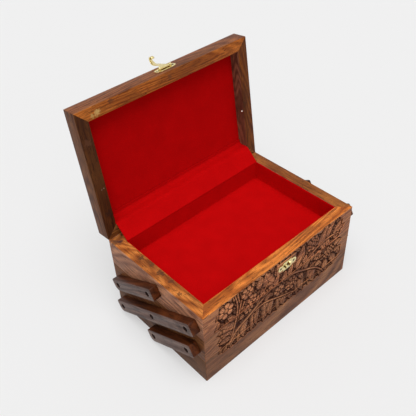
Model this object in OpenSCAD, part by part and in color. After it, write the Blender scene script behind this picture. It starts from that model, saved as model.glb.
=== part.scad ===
// Three-tier keepsake box in sheesham wood. The lid stands open on its back edge.
// Wooden arms on both sides carry the upper trays, so that they swing up and back like stairs.
// Origin: middle of the underside. X runs along the front, Y to the back, Z up.

/* [Box] */
// Length of the box along its front
box_w = 230; // [180:1:300]
// Depth of the box from front to back
box_d = 152; // [145:1:200]
// Height of each of the three trays
tier_h = 34; // [32:0.5:45]
// Air between one tray and the next
tier_gap = 0.3; // [0.2:0.1:0.6]
// Thickness of the side boards
wall_t = 13.5; // [12.5:0.5:15]
// Thickness of each tray's bottom panel
floor_t = 4; // [3:0.5:6]
// How far a bottom panel is let into the boards
floor_rebate = 5; // [3:0.5:7]

/* [Lid] */
// Height of the lid's frame
lid_h = 19; // [17:0.5:26]
// Angle at which the lid stands open
lid_open = 97; // [60:1:105]
// Thickness of the carved panel in the lid
panel_t = 4.5; // [4:0.5:6]
// How far the carved panel is let into the frame
panel_rebate = 4; // [3:0.5:6]

/* [Carving] */
// Depth of the ground between the carved flowers and leaves
carve_t = 1.5; // [0.8:0.1:2]

/* [Velvet] */
// Thickness of the velvet on the tray walls
velvet_t = 1.2; // [0.8:0.1:2]
// Thickness of the padded velvet on the tray floors
pad_t = 3.5; // [2:0.5:5]
// Thickness of the cloth strip over the hinges
cloth_t = 0.8; // [0.6:0.1:1]

/* [Arms] */
// Width of an arm, seen from the side
arm_w = 15; // [12:0.5:16]
// Thickness of an arm
arm_t = 9.5; // [8:0.5:12]
// Air between an arm and the boards
arm_gap = 0.5; // [0.3:0.1:1]
// Distance from one pivot to the next, measured along the box
link_run = 57.5; // [50:0.5:60]
// Rise from one pivot to the next
link_rise = 32.5; // [28:0.5:33]
// Length of arm past its front pivot
arm_front_end = 10; // [7:0.5:11]
// Length of arm past its rear pivot
arm_rear_end = 9; // [7:0.5:10]

/* [Pivots] */
// Place of the long arm's rear pivot behind the middle of the box
long_pivot_y = 54.5; // [50:0.5:58]
// Height of the long arm's rear pivot
long_pivot_z = 18.5; // [14:0.5:20]
// The upper arm's pivots sit this much higher than the long arm's
upper_lift = 2; // [0:0.5:4]
// The lower arm's pivots sit this much lower than the long arm's
lower_drop = 3.5; // [0:0.5:5]
// The short arms' pivots sit this much behind the long arm's
short_shift = 2; // [0:0.5:3]
// Diameter of a pivot screw's shank
screw_d = 3.6; // [3:0.1:4]
// Diameter of a pivot screw's head
screw_head_d = 5.4; // [5:0.1:6]
// Depth of the hole that hides the head
screw_sink = 4.5; // [3:0.5:5]

/* [Hinges] */
// Length of a hinge
hinge_w = 32; // [25:1:40]
// Distance from the middle of the box to the middle of a hinge
hinge_x = 68; // [50:1:80]
// Width of a hinge leaf
leaf_w = 11.5; // [9:0.5:12]
// Thickness of a hinge leaf
leaf_t = 1; // [0.8:0.1:1.2]
// Radius of the hinge knuckles
knuckle_r = 2; // [1.8:0.1:2.2]
// Diameter of a hinge pin
hinge_pin_d = 1.8; // [1.5:0.1:2]

/* [Latch] */
// Place of the latch right of the middle of the box
latch_x = 4.5; // [0:0.5:10]
// Height of the latch pivot above the lid's rim
latch_z = 9.5; // [8:0.5:11]
// Drop from the latch pivot to the catch, with the lid shut
latch_drop = 22.4; // [21:0.1:26]
// Angle of the hook from its shut place, as it stands with the lid open
hook_open = 165; // [120:1:166]

/* [Hidden] */
$fn = 48;
e = 0.01;
wood = [0.55, 0.31, 0.16];
dark_wood = [0.29, 0.20, 0.15];
velvet = [0.72, 0.03, 0.04];
brass = [0.80, 0.66, 0.33];
steel = [0.32, 0.31, 0.30];

half_w = box_w / 2;
half_d = box_d / 2;
inner_w = half_w - wall_t;
inner_d = half_d - wall_t;
tier_pitch = tier_h + tier_gap;
tiers = [0, tier_pitch, 2 * tier_pitch];
top_z = tiers[2] + tier_h;

// The lid shuts with the same air above the top tray; its hinge line runs in the middle of that air.
rim_gap = tier_gap;
hinge_y = half_d;
hinge_z = top_z + rim_gap / 2;
lid_z = top_z + rim_gap;
panel_z = lid_z + lid_h - panel_t;

// The top tray's back board is planed lower, for the cloth over the hinges
back_drop = cloth_t;

arm_x = half_w + arm_gap;
arm_angle = atan2(link_rise, link_run);
screw_bite = 8.5;
screw_fit = 0.1;
screw_head_t = 1.6;
screw_head_air = 0.3;
screw_seat_air = 0.15;
screw_slot_w = 0.9;
screw_slot_t = 0.6;

// ---------- boards of a tray ----------

// Plan of a board with mitred ends, along the front
module board_plan(length, depth, thick) {
    polygon([[-length, -depth], [length, -depth], [length - thick, -depth + thick],
        [-length + thick, -depth + thick]]);
}

module long_board(z, h) {
    translate([0, 0, z]) linear_extrude(h) board_plan(half_w, half_d, wall_t);
}

module short_board(z, h) {
    translate([0, 0, z]) linear_extrude(h) rotate(-90) board_plan(half_d, half_w, wall_t);
}

// Space of a bottom panel, cut from the boards that hold it
module floor_slab(z) {
    translate([-inner_w - floor_rebate, -inner_d - floor_rebate, z])
        cube([2 * (inner_w + floor_rebate), 2 * (inner_d + floor_rebate), floor_t]);
}

module front_board(z) {
    color(wood) difference() {
        long_board(z, tier_h);
        floor_slab(z);
        front_ground();
    }
}

module back_board(z, drop = 0) {
    color(wood) difference() {
        mirror([0, 1, 0]) long_board(z, tier_h);
        floor_slab(z);
        if (drop > 0) translate([-inner_w, inner_d - e, z + tier_h - drop])
            cube([2 * inner_w, wall_t + 2 * e, drop + e]);
    }
}

// side = -1 for the left board, 1 for the right one; pivots lists [y, z] of the holes in it
module side_board(z, side, pivots) {
    color(wood) difference() {
        mirror([side > 0 ? 1 : 0, 0, 0]) short_board(z, tier_h);
        floor_slab(z);
        for (p = pivots) translate([side * (half_w + e), p[0], p[1]])
            rotate([0, -side * 90, 0]) cylinder(h = screw_bite + e, d = screw_d);
    }
}

module tray_floor(z) {
    color(wood) floor_slab(z);
}

// Velvet glued to the walls, with a padded floor
module tray_velvet(z, top_drop = 0.5) {
    height = tier_h - floor_t - top_drop;
    color(velvet) difference() {
        translate([-inner_w, -inner_d, z + floor_t]) cube([2 * inner_w, 2 * inner_d, height]);
        translate([-inner_w + velvet_t, -inner_d + velvet_t, z + floor_t + pad_t])
            cube([2 * (inner_w - velvet_t), 2 * (inner_d - velvet_t), height]);
    }
}

// ---------- carving ----------
// The main stems, leaves and flowers stand at board level in a sunk ground. They are drawn for
// boards 230 mm long and three trays of 34 mm, and stretch with the box.

// Half the width of a stem or leaf at share u of its length
function stem_half(width, u) = width / 2 * (1.15 - 0.45 * u);
function leaf_half(width, u) = width / 2 * pow(sin(180 * pow(u, 0.8)), 0.75);
function turned(d) = [-d[1], d[0]] / norm(d);

// Band along a line of points, narrower towards its end
module stem(width, p) {
    last = len(p) - 1;
    function side(i, s) = p[i] + s * stem_half(width, i / last)
        * turned(p[min(i + 1, last)] - p[max(i - 1, 0)]);
    polygon(concat([for (i = [0:last]) side(i, 1)], [for (i = [last:-1:0]) side(i, -1)]));
}

// Pointed leaf that bends to one side
leaf_steps = [0.12, 0.35, 0.6, 0.85];
module leaf(base, tip, width, bend = 0.12) {
    d = tip - base;
    function side(u, s) = base + u * d + (bend * norm(d) * sin(180 * u) + s * leaf_half(width, u)) * turned(d);
    polygon(concat([base], [for (u = leaf_steps) side(u, -1)], [tip],
        [for (i = [len(leaf_steps) - 1:-1:0]) side(leaf_steps[i], 1)]));
}

module flower(centre, r) {
    translate(centre) circle(r = 0.93 * r, $fn = 12);
}

// Main parts of the spray on the three front boards, from their lower left corner
module front_spray() {
    stem(3.2, [[33, 30], [39, 44], [43, 57], [46, 70], [47, 84], [44, 96]]);
    stem(2.8, [[43, 54], [48, 66], [51, 79], [54, 91]]);
    stem(3, [[62, 52], [75, 54], [87, 54], [98, 50], [109, 45], [121, 40], [134, 35]]);
    stem(3.6, [[34, 32], [42, 42], [51, 48], [62, 52], [72, 57], [83, 62], [94, 67], [104, 67], [113, 63]]);
    stem(3, [[146, 61], [154, 69], [164, 75], [175, 79], [187, 80], [199, 79], [211, 75]]);
    stem(3.6, [[119, 66], [131, 66], [141, 62], [151, 57], [161, 52], [171, 46], [180, 38], [188, 28]]);
    for (f = [[31, 88, 11], [61, 91, 9], [68, 76, 7.5], [63, 65, 7.5], [110, 56, 8.5], [130, 52, 10],
            [163, 90, 11], [174, 64, 7.5], [195, 55, 10]]) flower([f[0], f[1]], f[2]);
    leaf([45, 44], [35, 25], 10, -0.1);
    leaf([60, 51], [55, 25], 12, -0.1);
    leaf([69, 53], [66, 26], 12, 0.1);
    leaf([88, 54], [85, 25], 15, 0.1);
    leaf([99, 50], [97, 26], 12, -0.1);
    leaf([109, 46], [108, 25], 12, 0.1);
    leaf([120, 42], [119, 25], 12, -0.12);
    leaf([139, 52], [140, 25], 12, 0.1);
    leaf([149, 57], [150, 25], 13, -0.1);
    leaf([159, 53], [160, 26], 11, 0.1);
    leaf([168, 48], [170, 25], 14, -0.1);
    leaf([190, 46], [194, 26], 12, -0.1);
    leaf([200, 47], [206, 28], 12, 0.1);
    leaf([44, 56], [23, 68], 16, 0.12);
    leaf([40, 47], [22, 55], 11, 0.1);
    leaf([104, 67], [109, 82], 11, 0.12);
    leaf([115, 64], [119, 80], 11, -0.1);
    leaf([126, 67], [131, 82], 10, 0.1);
    leaf([77, 83], [80, 101], 12, -0.1);
    leaf([101, 76], [88, 99], 18, 0.14);
    leaf([134, 72], [147, 99], 15, -0.12);
    leaf([173, 80], [187, 101], 16, -0.12);
    leaf([188, 81], [200, 101], 11, 0.1);
}

// Main parts in the right rear quarter of the lid's panel, from the middle of the panel
module quarter_spray() {
    stem(3.4, [[8, 3], [20, 13], [34, 18], [50, 15], [64, 11], [76, 15], [85, 26]]);
    stem(2.8, [[20, 13], [30, 27], [44, 38], [60, 42], [78, 39]]);
    for (f = [[46, 28, 8.5], [84, 39, 9], [27, 46, 8], [86, 3, 8]]) flower([f[0], f[1]], f[2]);
    leaf([36, 18], [46, 3], 12, 0.12);
    leaf([26, 20], [14, 34], 12, -0.1);
    leaf([56, 14], [66, 30], 12, -0.12);
    leaf([44, 38], [42, 53], 11, 0.1);
    leaf([60, 42], [63, 54], 12, 0.1);
    leaf([66, 11], [69, -1], 10, 0.1);
}

// Ground between the parts, in a field from one corner to the other
module ground_between(low, high) {
    difference() {
        translate(low) square(high - low);
        children();
    }
}

field_low = [26, 32];
field_high = [206, 96];
drawn_w = 230;
drawn_d = 152;
drawn_h = 102;
// The wood behind the catch is left plain
catch_patch = [30, 14];
module front_ground() {
    difference() {
        translate([-half_w, -half_d + carve_t, 0]) rotate([90, 0, 0]) linear_extrude(carve_t + 1)
            scale([box_w / drawn_w, 3 * tier_h / drawn_h])
                ground_between(field_low, field_high) front_spray();
        on_front(catch_z) linear_extrude(4 * carve_t, center = true) square(catch_patch, center = true);
    }
}

panel_field = [92, 52];
panel_flower_r = 15;
module panel_ground() {
    translate([0, 0, panel_z + panel_t - carve_t]) linear_extrude(carve_t + 1)
        scale([box_w / drawn_w, box_d / drawn_d])
            ground_between(-panel_field, panel_field) {
                for (right = [0, 1], rear = [0, 1]) mirror([right, 0]) mirror([0, rear]) quarter_spray();
                flower([0, 0], panel_flower_r);
                for (s = [-1, 1]) flower([0, s * 42], 9);
            }
}
// ---------- pivots and arms ----------

// Pivot places [y, z], each arm's list running from back to front
function step(p, n) = [p[0] - n * link_run, p[1] + n * link_rise];
long_start = [long_pivot_y, long_pivot_z];
long_pivots = [for (n = [0:2]) step(long_start, n)];
upper_start = [long_pivots[0][0] + short_shift, long_pivots[1][1] + upper_lift];
upper_pivots = [for (n = [0:1]) step(upper_start, n)];
lower_start = [long_pivots[1][0] + short_shift, long_pivots[0][1] - lower_drop];
lower_pivots = [for (n = [0:1]) step(lower_start, n)];

bottom_pivots = [long_pivots[0], lower_pivots[0]];
middle_pivots = [upper_pivots[0], long_pivots[1], lower_pivots[1]];
top_pivots = [upper_pivots[1], long_pivots[2]];

front_corner_r = 2;
rear_top_r = 2.5;
rear_low_r = 6;

// Outline of an arm: u runs along it from its rear pivot, with the lower rear corner well rounded
module arm_outline(length) {
    rear = -arm_rear_end;
    low = -arm_w / 2;
    high = arm_w / 2;
    front = length + arm_front_end;
    translate([rear + rear_low_r, low]) square([front - front_corner_r - rear - rear_low_r, arm_w]);
    translate([front - front_corner_r - e, low + front_corner_r])
        square([front_corner_r + e, arm_w - 2 * front_corner_r]);
    for (v = [low + front_corner_r, high - front_corner_r])
        translate([front - front_corner_r, v]) circle(r = front_corner_r);
    translate([rear, low + rear_low_r]) square([rear_low_r + e, arm_w - rear_low_r - rear_top_r]);
    translate([rear + rear_low_r, low + rear_low_r]) circle(r = rear_low_r);
    translate([rear + rear_top_r, high - rear_top_r]) circle(r = rear_top_r);
    translate([rear + rear_top_r, high - rear_top_r - e])
        square([rear_low_r - rear_top_r + e, rear_top_r + e]);
}

// Turns a flat outline with u towards the front and v up into the side of the box
module on_side(side, p) {
    translate([side > 0 ? arm_x : -arm_x - arm_t, p[0], p[1]])
        rotate([-arm_angle, 0, 0]) rotate([90, 0, -90]) mirror([0, 0, 1]) children();
}

module arm(side, pivots) {
    span = norm(pivots[len(pivots) - 1] - pivots[0]);
    color(dark_wood) difference() {
        on_side(side, pivots[0]) linear_extrude(arm_t) arm_outline(span);
        for (p = pivots) translate([side * arm_x, p[0], p[1]]) rotate([0, side * 90, 0]) {
            translate([0, 0, -e]) cylinder(h = arm_t + 2 * e, d = screw_d + screw_fit);
            translate([0, 0, arm_t - screw_sink])
                cylinder(h = screw_sink + e, d = screw_head_d + 2 * screw_head_air);
        }
    }
}

// A shank with a slotted head, driven into the board from outside the arm
module pivot_screw(side, p) {
    head_seat = arm_gap + arm_t - screw_sink + screw_seat_air;
    translate([side * half_w, p[0], p[1]]) rotate([0, side * 90, 0]) difference() {
        union() {
            translate([0, 0, -screw_bite]) cylinder(h = screw_bite + head_seat + e, d = screw_d);
            translate([0, 0, head_seat]) cylinder(h = screw_head_t, d = screw_head_d);
        }
        translate([-screw_slot_w / 2, -screw_head_d, head_seat + screw_head_t - screw_slot_t])
            cube([screw_slot_w, 2 * screw_head_d, screw_slot_t + e]);
    }
}

module pivot_screws(pivots) {
    color(steel) for (side = [-1, 1], p = pivots) pivot_screw(side, p);
}

// ---------- lid ----------

// Everything on the lid is drawn as it lies shut, and this stands it open
module stand_open() {
    translate([0, hinge_y, hinge_z]) rotate([-lid_open, 0, 0]) translate([0, -hinge_y, -hinge_z])
        children();
}

// Space of the carved panel, cut from the rails that hold it
module panel_slab() {
    translate([-inner_w - panel_rebate, -inner_d - panel_rebate, panel_z])
        cube([2 * (inner_w + panel_rebate), 2 * (inner_d + panel_rebate), panel_t]);
}

module lid_front_rail() {
    color(wood) stand_open() difference() {
        long_board(lid_z, lid_h);
        panel_slab();
        for (s = [-1, 1]) latch_screw_hole(s);
    }
}

module lid_back_rail() {
    color(wood) stand_open() difference() {
        mirror([0, 1, 0]) long_board(lid_z, lid_h);
        panel_slab();
        for (s = [-1, 1]) {
            hinge_recess(s);
            translate([s * hinge_x, 0, 0]) mirror_to_lid() leaf_mortise();
            for (x = leaf_screws) translate([s * hinge_x + x, 0, 0]) mirror_to_lid() leaf_screw_hole();
        }
    }
}

module lid_side_rail(side) {
    color(wood) stand_open() difference() {
        mirror([side > 0 ? 1 : 0, 0, 0]) short_board(lid_z, lid_h);
        panel_slab();
        side_nail_shank(side);
    }
}

module lid_panel() {
    color(wood) stand_open() difference() {
        panel_slab();
        panel_ground();
    }
}

lid_velvet_t = 1.2;
module lid_velvet() {
    color(velvet) stand_open()
        translate([-inner_w, -inner_d, panel_z - lid_velvet_t])
            cube([2 * inner_w, 2 * inner_d, lid_velvet_t]);
}

// Nail in the inner wall of a side rail
nail_y = 13.5;
nail_rise = 3.5;
nail_d = 1.2;
nail_bite = 7;
nail_head_t = 1;
nail_head_d = 2.8;
module at_side_nail(side) {
    translate([side * inner_w, nail_y, lid_z + nail_rise]) rotate([0, side * 90, 0]) children();
}

module side_nail_shank(side) {
    at_side_nail(side) cylinder(h = nail_bite, d = nail_d);
}

module lid_side_nails() {
    color(steel) stand_open() for (side = [-1, 1]) {
        side_nail_shank(side);
        at_side_nail(side) translate([0, 0, -nail_head_t])
            cylinder(h = nail_head_t, d1 = nail_head_d / 2, d2 = nail_head_d);
    }
}

// ---------- hinges ----------

knuckle_count = 5;
knuckle_gap = 0.3;
knuckle_w = hinge_w / knuckle_count;
leaf_screws = [-9.6, 9.6];
leaf_screw_y = half_d - 7;
hinge_screw_d = 2;
hinge_head_d = 3.4;
hinge_screw_len = 9;
knuckle_air = 0.3;
groove_air = 0.4;
pin_fit = 0.1;

module along_hinge(x, length, r) {
    translate([x, hinge_y, hinge_z]) rotate([0, 90, 0]) cylinder(h = length, r = r);
}

// Round groove for the knuckles, in the back board and in the lid's back rail alike
module hinge_recess(s) {
    along_hinge(s * hinge_x - hinge_w / 2 - knuckle_air, hinge_w + 2 * knuckle_air, knuckle_r + groove_air);
}

module leaf_plate(thick) {
    translate([-hinge_w / 2, half_d - leaf_w, top_z - back_drop - thick])
        cube([hinge_w, leaf_w, thick]);
}

module leaf_mortise() {
    translate([-hinge_w / 2, half_d - leaf_w, top_z - back_drop - leaf_t])
        cube([hinge_w, leaf_w + e, leaf_t + back_drop + e]);
}

module leaf_screw_hole() {
    translate([0, leaf_screw_y, top_z - back_drop - hinge_screw_len])
        cylinder(h = hinge_screw_len, d = hinge_screw_d);
}

// The lid's leaf is the tray's leaf turned over about the hinge line
module mirror_to_lid() {
    translate([0, 0, 2 * hinge_z]) mirror([0, 0, 1]) children();
}

function knuckle_start(i) = -hinge_w / 2 + i * knuckle_w;

// first = 0 for the leaf with knuckles 0, 2 and 4, first = 1 for the one with 1 and 3
module hinge_leaf(first, bore) {
    knuckles = [for (i = [0:knuckle_count - 1]) if (i % 2 == first) i];
    others = [for (i = [0:knuckle_count - 1]) if (i % 2 != first) i];
    difference() {
        union() {
            leaf_plate(leaf_t);
            for (i = knuckles)
                along_hinge(knuckle_start(i) + knuckle_gap / 2, knuckle_w - knuckle_gap, knuckle_r);
        }
        for (i = others)
            along_hinge(knuckle_start(i) - knuckle_gap / 2, knuckle_w + knuckle_gap,
                knuckle_r + knuckle_air);
        along_hinge(-hinge_w / 2 - e, hinge_w + 2 * e, bore / 2);
        for (x = leaf_screws) translate([x, leaf_screw_y, top_z - back_drop - leaf_t - e]) {
            cylinder(h = leaf_t + 2 * e, d = hinge_screw_d);
            cylinder(h = leaf_t + 2 * e, d1 = hinge_screw_d, d2 = hinge_head_d);
        }
    }
}

module leaf_screw() {
    leaf_screw_hole();
    translate([0, leaf_screw_y, top_z - back_drop - leaf_t])
        cylinder(h = leaf_t, d1 = hinge_screw_d, d2 = hinge_head_d);
}

module tray_hinge_leaves() {
    color(brass) for (s = [-1, 1]) translate([s * hinge_x, 0, 0]) hinge_leaf(0, hinge_pin_d);
}

module lid_hinge_leaves() {
    color(brass) stand_open() for (s = [-1, 1]) translate([s * hinge_x, 0, 0])
        mirror_to_lid() hinge_leaf(1, hinge_pin_d + pin_fit);
}

module hinge_pins() {
    color(brass) for (s = [-1, 1]) along_hinge(s * hinge_x - hinge_w / 2, hinge_w, hinge_pin_d / 2);
}

module tray_hinge_screws() {
    color(brass) for (s = [-1, 1], x = leaf_screws) translate([s * hinge_x + x, 0, 0]) leaf_screw();
}

module lid_hinge_screws() {
    color(brass) stand_open() for (s = [-1, 1], x = leaf_screws) translate([s * hinge_x + x, 0, 0])
        mirror_to_lid() leaf_screw();
}

// Cloth over the lid's back rail, reaching over the gap to the top tray's inner edge
cloth_air = 0.4;
function opened(p) = [
    hinge_y + (p[0] - hinge_y) * cos(lid_open) + (p[1] - hinge_z) * sin(lid_open),
    hinge_z - (p[0] - hinge_y) * sin(lid_open) + (p[1] - hinge_z) * cos(lid_open)];
function left_of(a, b) = let (d = (b - a) / norm(b - a)) [-d[1], d[0]];
// Corner b of the line a, b, c, moved out to the left by t
function left_corner(a, b, c, t) = let (m = left_of(a, b), n = left_of(b, c)) b + t * (m + n) / (1 + m * n);
module hinge_cloth() {
    start = [inner_d, top_z - back_drop + cloth_air];
    bend = opened([inner_d - cloth_air, lid_z - cloth_air]);
    end = opened([inner_d - cloth_air, panel_z - lid_velvet_t - cloth_air]);
    color(velvet) translate([-inner_w + cloth_air, 0, 0]) rotate([90, 0, 90])
        linear_extrude(2 * (inner_w - cloth_air))
            polygon([start, bend, end, end + cloth_t * left_of(bend, end),
                left_corner(start, bend, end, cloth_t), start + cloth_t * left_of(start, bend)]);
}

// ---------- latch ----------

plate_t = 0.8;
latch_axis_out = 2.2;
latch_axis_y = -half_d - latch_axis_out;
latch_axis_z = lid_z + latch_z;
latch_barrel_r = 1.7;
latch_pin_d = 1.4;
latch_window_w = 11;
latch_window_h = 4.8;
latch_knuckle_w = 2.6;

// Screws of the two latch plates
latch_screw_x = 10;
latch_screw_d = 1.8;
latch_screw_len = 6;
latch_head_d = 3.2;
latch_head_t = 0.7;
latch_head_fit = 0.06;

// Places a flat outline (x to the right, y up) on the front, with its thickness outwards
module on_front(z) {
    translate([latch_x, -half_d, z]) rotate([90, 0, 0]) children();
}

// Drawn about the pivot: u runs out from the face and h down, as the hook hangs shut
module latch_frame() {
    translate([latch_x, latch_axis_y, latch_axis_z]) children();
}

module fixing_hole() {
    translate([0, 0, -latch_screw_len]) cylinder(h = latch_screw_len + e, d = latch_screw_d);
}

module latch_screw_hole(s) {
    on_front(latch_axis_z) translate([s * latch_screw_x, 0, 0]) fixing_hole();
}

module fixing_screw() {
    translate([0, 0, -latch_screw_len]) cylinder(h = latch_screw_len + plate_t, d = latch_screw_d);
    translate([0, 0, plate_t - latch_head_t])
        cylinder(h = latch_head_t, d1 = latch_screw_d, d2 = latch_head_d);
}

// Plate with round ears for two screws
module eared_plate(size, ear_r) {
    neck_h = 1.7 * ear_r;
    difference() {
        linear_extrude(plate_t) union() {
            square(size, center = true);
            for (s = [-1, 1]) translate([s * latch_screw_x, 0]) circle(r = ear_r);
            square([2 * latch_screw_x, neck_h], center = true);
        }
        for (s = [-1, 1]) translate([s * latch_screw_x, 0, 0]) {
            translate([0, 0, -e]) cylinder(h = plate_t + 2 * e, d = latch_screw_d);
            translate([0, 0, plate_t - latch_head_t])
                cylinder(h = latch_head_t + e, d1 = latch_screw_d, d2 = latch_head_d + latch_head_fit);
        }
    }
}

latch_plate_size = [17, 9];
latch_ear_r = 3.6;
module latch_plate() {
    color(brass) stand_open() difference() {
        union() {
            on_front(latch_axis_z) eared_plate(latch_plate_size, latch_ear_r);
            for (s = [-1, 1]) latch_frame()
                translate([s * (latch_window_w + latch_knuckle_w) / 2, 0, 0]) rotate([0, 90, 0])
                    cylinder(h = latch_knuckle_w, r = latch_barrel_r, center = true);
        }
        on_front(latch_axis_z) translate([-latch_window_w / 2, -latch_window_h / 2, -e])
            cube([latch_window_w, latch_window_h, plate_t + 2 * e]);
        latch_frame() rotate([0, 90, 0]) cylinder(h = box_w, d = latch_pin_d, center = true);
    }
}

module latch_pin() {
    color(brass) stand_open() latch_frame() rotate([0, 90, 0])
        cylinder(h = latch_window_w + 2 * latch_knuckle_w, d = latch_pin_d, center = true);
}

module latch_screws() {
    color(steel) stand_open() for (s = [-1, 1])
        on_front(latch_axis_z) translate([s * latch_screw_x, 0, 0]) fixing_screw();
}

// Hook: side profile of a bent strip. It is straight below the barrel, bows out over the catch
// and curls in below it.
strip_t = 1;
strip_start = [latch_barrel_r - strip_t / 2, 0];
bow_start = strip_start + [0, 4.5];
bow_end = [3.4, latch_drop + 1.9];
bow_rise = 1.5;
bow_steps = 8;
curl_r = 2.1;
curl_turn = 125;
curl_steps = 8;
bow_half = norm(bow_end - bow_start) / 2;
bow_r = (bow_half * bow_half + bow_rise * bow_rise) / (2 * bow_rise);
bow_angle = asin(bow_half / bow_r);
bow_along = (bow_end - bow_start) / (2 * bow_half);
bow_side = [bow_along[1], -bow_along[0]];
function bow_ray(a) = cos(a) * bow_side + sin(a) * bow_along;
bow_centre = bow_start + bow_half * bow_along - (bow_r - bow_rise) * bow_side;
curl_centre = bow_end - curl_r * bow_ray(bow_angle);
strip_line = concat([strip_start],
    [for (i = [0:bow_steps]) bow_centre + bow_r * bow_ray(bow_angle * (2 * i / bow_steps - 1))],
    [for (i = [1:curl_steps]) curl_centre + curl_r * bow_ray(bow_angle + curl_turn * i / curl_steps)]);
function strip_dir(i) = let (a = strip_line[max(i - 1, 0)], b = strip_line[min(i + 1, len(strip_line) - 1)])
    (b - a) / norm(b - a);
function strip_side(i, side) = let (d = strip_dir(i)) strip_line[i] + side * strip_t / 2 * [d[1], -d[0]];
strip_count = len(strip_line);
hook_profile = concat([for (i = [0:strip_count - 1]) strip_side(i, 1)],
    [for (i = [strip_count - 1:-1:0]) strip_side(i, -1)]);

hook_base_w = latch_window_w - 2 * knuckle_air;
hook_tip_w = 6;
hook_shoulder = 2;
hook_taper = 9;
module latch_hook() {
    hook_end = bow_end[1] + curl_r + strip_t;
    color(brass) stand_open() latch_frame() rotate([-hook_open, 0, 0]) difference() {
        union() {
            rotate([0, 90, 0]) cylinder(h = hook_base_w, r = latch_barrel_r, center = true);
            intersection() {
                // profile: x of the outline points out from the face (-Y), y of it points down (-Z)
                rotate([90, 0, -90]) mirror([0, 1, 0])
                    translate([0, 0, -hook_base_w / 2]) linear_extrude(hook_base_w) polygon(hook_profile);
                // seen from the front: wide at the barrel and narrow at the curl
                rotate([90, 0, 0]) linear_extrude(hook_end, center = true)
                    polygon([[-hook_base_w / 2, hook_shoulder], [hook_base_w / 2, hook_shoulder],
                        [hook_base_w / 2, -hook_shoulder], [hook_tip_w / 2, -hook_taper],
                        [hook_tip_w / 2, -hook_end], [-hook_tip_w / 2, -hook_end],
                        [-hook_tip_w / 2, -hook_taper], [-hook_base_w / 2, -hook_shoulder]]);
            }
        }
        rotate([0, 90, 0]) cylinder(h = box_w, d = latch_pin_d + pin_fit, center = true);
    }
}

// Catch on the top tray's front, with a hollow bar that the hook's curl goes under
catch_z = latch_axis_z - latch_drop;
catch_plate_size = [13, 11.5];
catch_ear_r = 3.8;
catch_bar_r = 2.5;
catch_bar_hole = 1.7;
catch_bar_w = 8;
module catch_plate() {
    color(brass) on_front(catch_z) difference() {
        union() {
            eared_plate(catch_plate_size, catch_ear_r);
            translate([0, 0, plate_t]) rotate([0, 90, 0])
                cylinder(h = catch_bar_w, r = catch_bar_r, center = true);
        }
        translate([0, 0, plate_t]) rotate([0, 90, 0])
            cylinder(h = catch_bar_w + 2 * e, r = catch_bar_hole, center = true);
        // nothing of the bar goes into the wood
        translate([-catch_bar_w, -box_d, -box_d]) cube([2 * catch_bar_w, 2 * box_d, box_d]);
    }
}

module catch_screws() {
    color(steel) for (s = [-1, 1])
        on_front(catch_z) translate([s * latch_screw_x, 0, 0]) fixing_screw();
}

module top_tray_front() {
    difference() {
        front_board(tiers[2]);
        color(wood) for (s = [-1, 1]) on_front(catch_z) translate([s * latch_screw_x, 0, 0]) fixing_hole();
    }
}

module top_tray_back() {
    difference() {
        back_board(tiers[2], back_drop);
        color(wood) for (s = [-1, 1]) {
            hinge_recess(s);
            translate([s * hinge_x, 0, 0]) leaf_mortise();
            for (x = leaf_screws) translate([s * hinge_x + x, 0, 0]) leaf_screw_hole();
        }
    }
}

front_board(tiers[0]);  // bottom_tray_front
back_board(tiers[0]);  // bottom_tray_back
side_board(tiers[0], -1, bottom_pivots);  // bottom_tray_left
side_board(tiers[0], 1, bottom_pivots);  // bottom_tray_right
tray_floor(tiers[0]);  // bottom_tray_floor
tray_velvet(tiers[0]);  // bottom_tray_velvet
front_board(tiers[1]);  // middle_tray_front
back_board(tiers[1]);  // middle_tray_back
side_board(tiers[1], -1, middle_pivots);  // middle_tray_left
side_board(tiers[1], 1, middle_pivots);  // middle_tray_right
tray_floor(tiers[1]);  // middle_tray_floor
tray_velvet(tiers[1]);  // middle_tray_velvet
top_tray_front();
top_tray_back();
side_board(tiers[2], -1, top_pivots);  // top_tray_left
side_board(tiers[2], 1, top_pivots);  // top_tray_right
tray_floor(tiers[2]);  // top_tray_floor
tray_velvet(tiers[2], back_drop);  // top_tray_velvet
lid_front_rail();
lid_back_rail();
lid_side_rail(-1);  // lid_left_rail
lid_side_rail(1);  // lid_right_rail
lid_panel();
lid_velvet();
lid_side_nails();
arm(-1, upper_pivots);  // upper_arm_left
arm(1, upper_pivots);  // upper_arm_right
arm(-1, long_pivots);  // long_arm_left
arm(1, long_pivots);  // long_arm_right
arm(-1, lower_pivots);  // lower_arm_left
arm(1, lower_pivots);  // lower_arm_right
pivot_screws(bottom_pivots);  // bottom_pivot_screws
pivot_screws(middle_pivots);  // middle_pivot_screws
pivot_screws(top_pivots);  // top_pivot_screws
tray_hinge_leaves();
lid_hinge_leaves();
hinge_pins();
tray_hinge_screws();
lid_hinge_screws();
hinge_cloth();
latch_plate();
latch_pin();
latch_hook();
latch_screws();
catch_plate();
catch_screws();
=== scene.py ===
"""Keepsake box of three swinging trays: carved sheesham, red velvet and a brass hook latch."""

import math

import bmesh
import bpy
import numpy as np
from mathutils import Matrix, Vector


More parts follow.
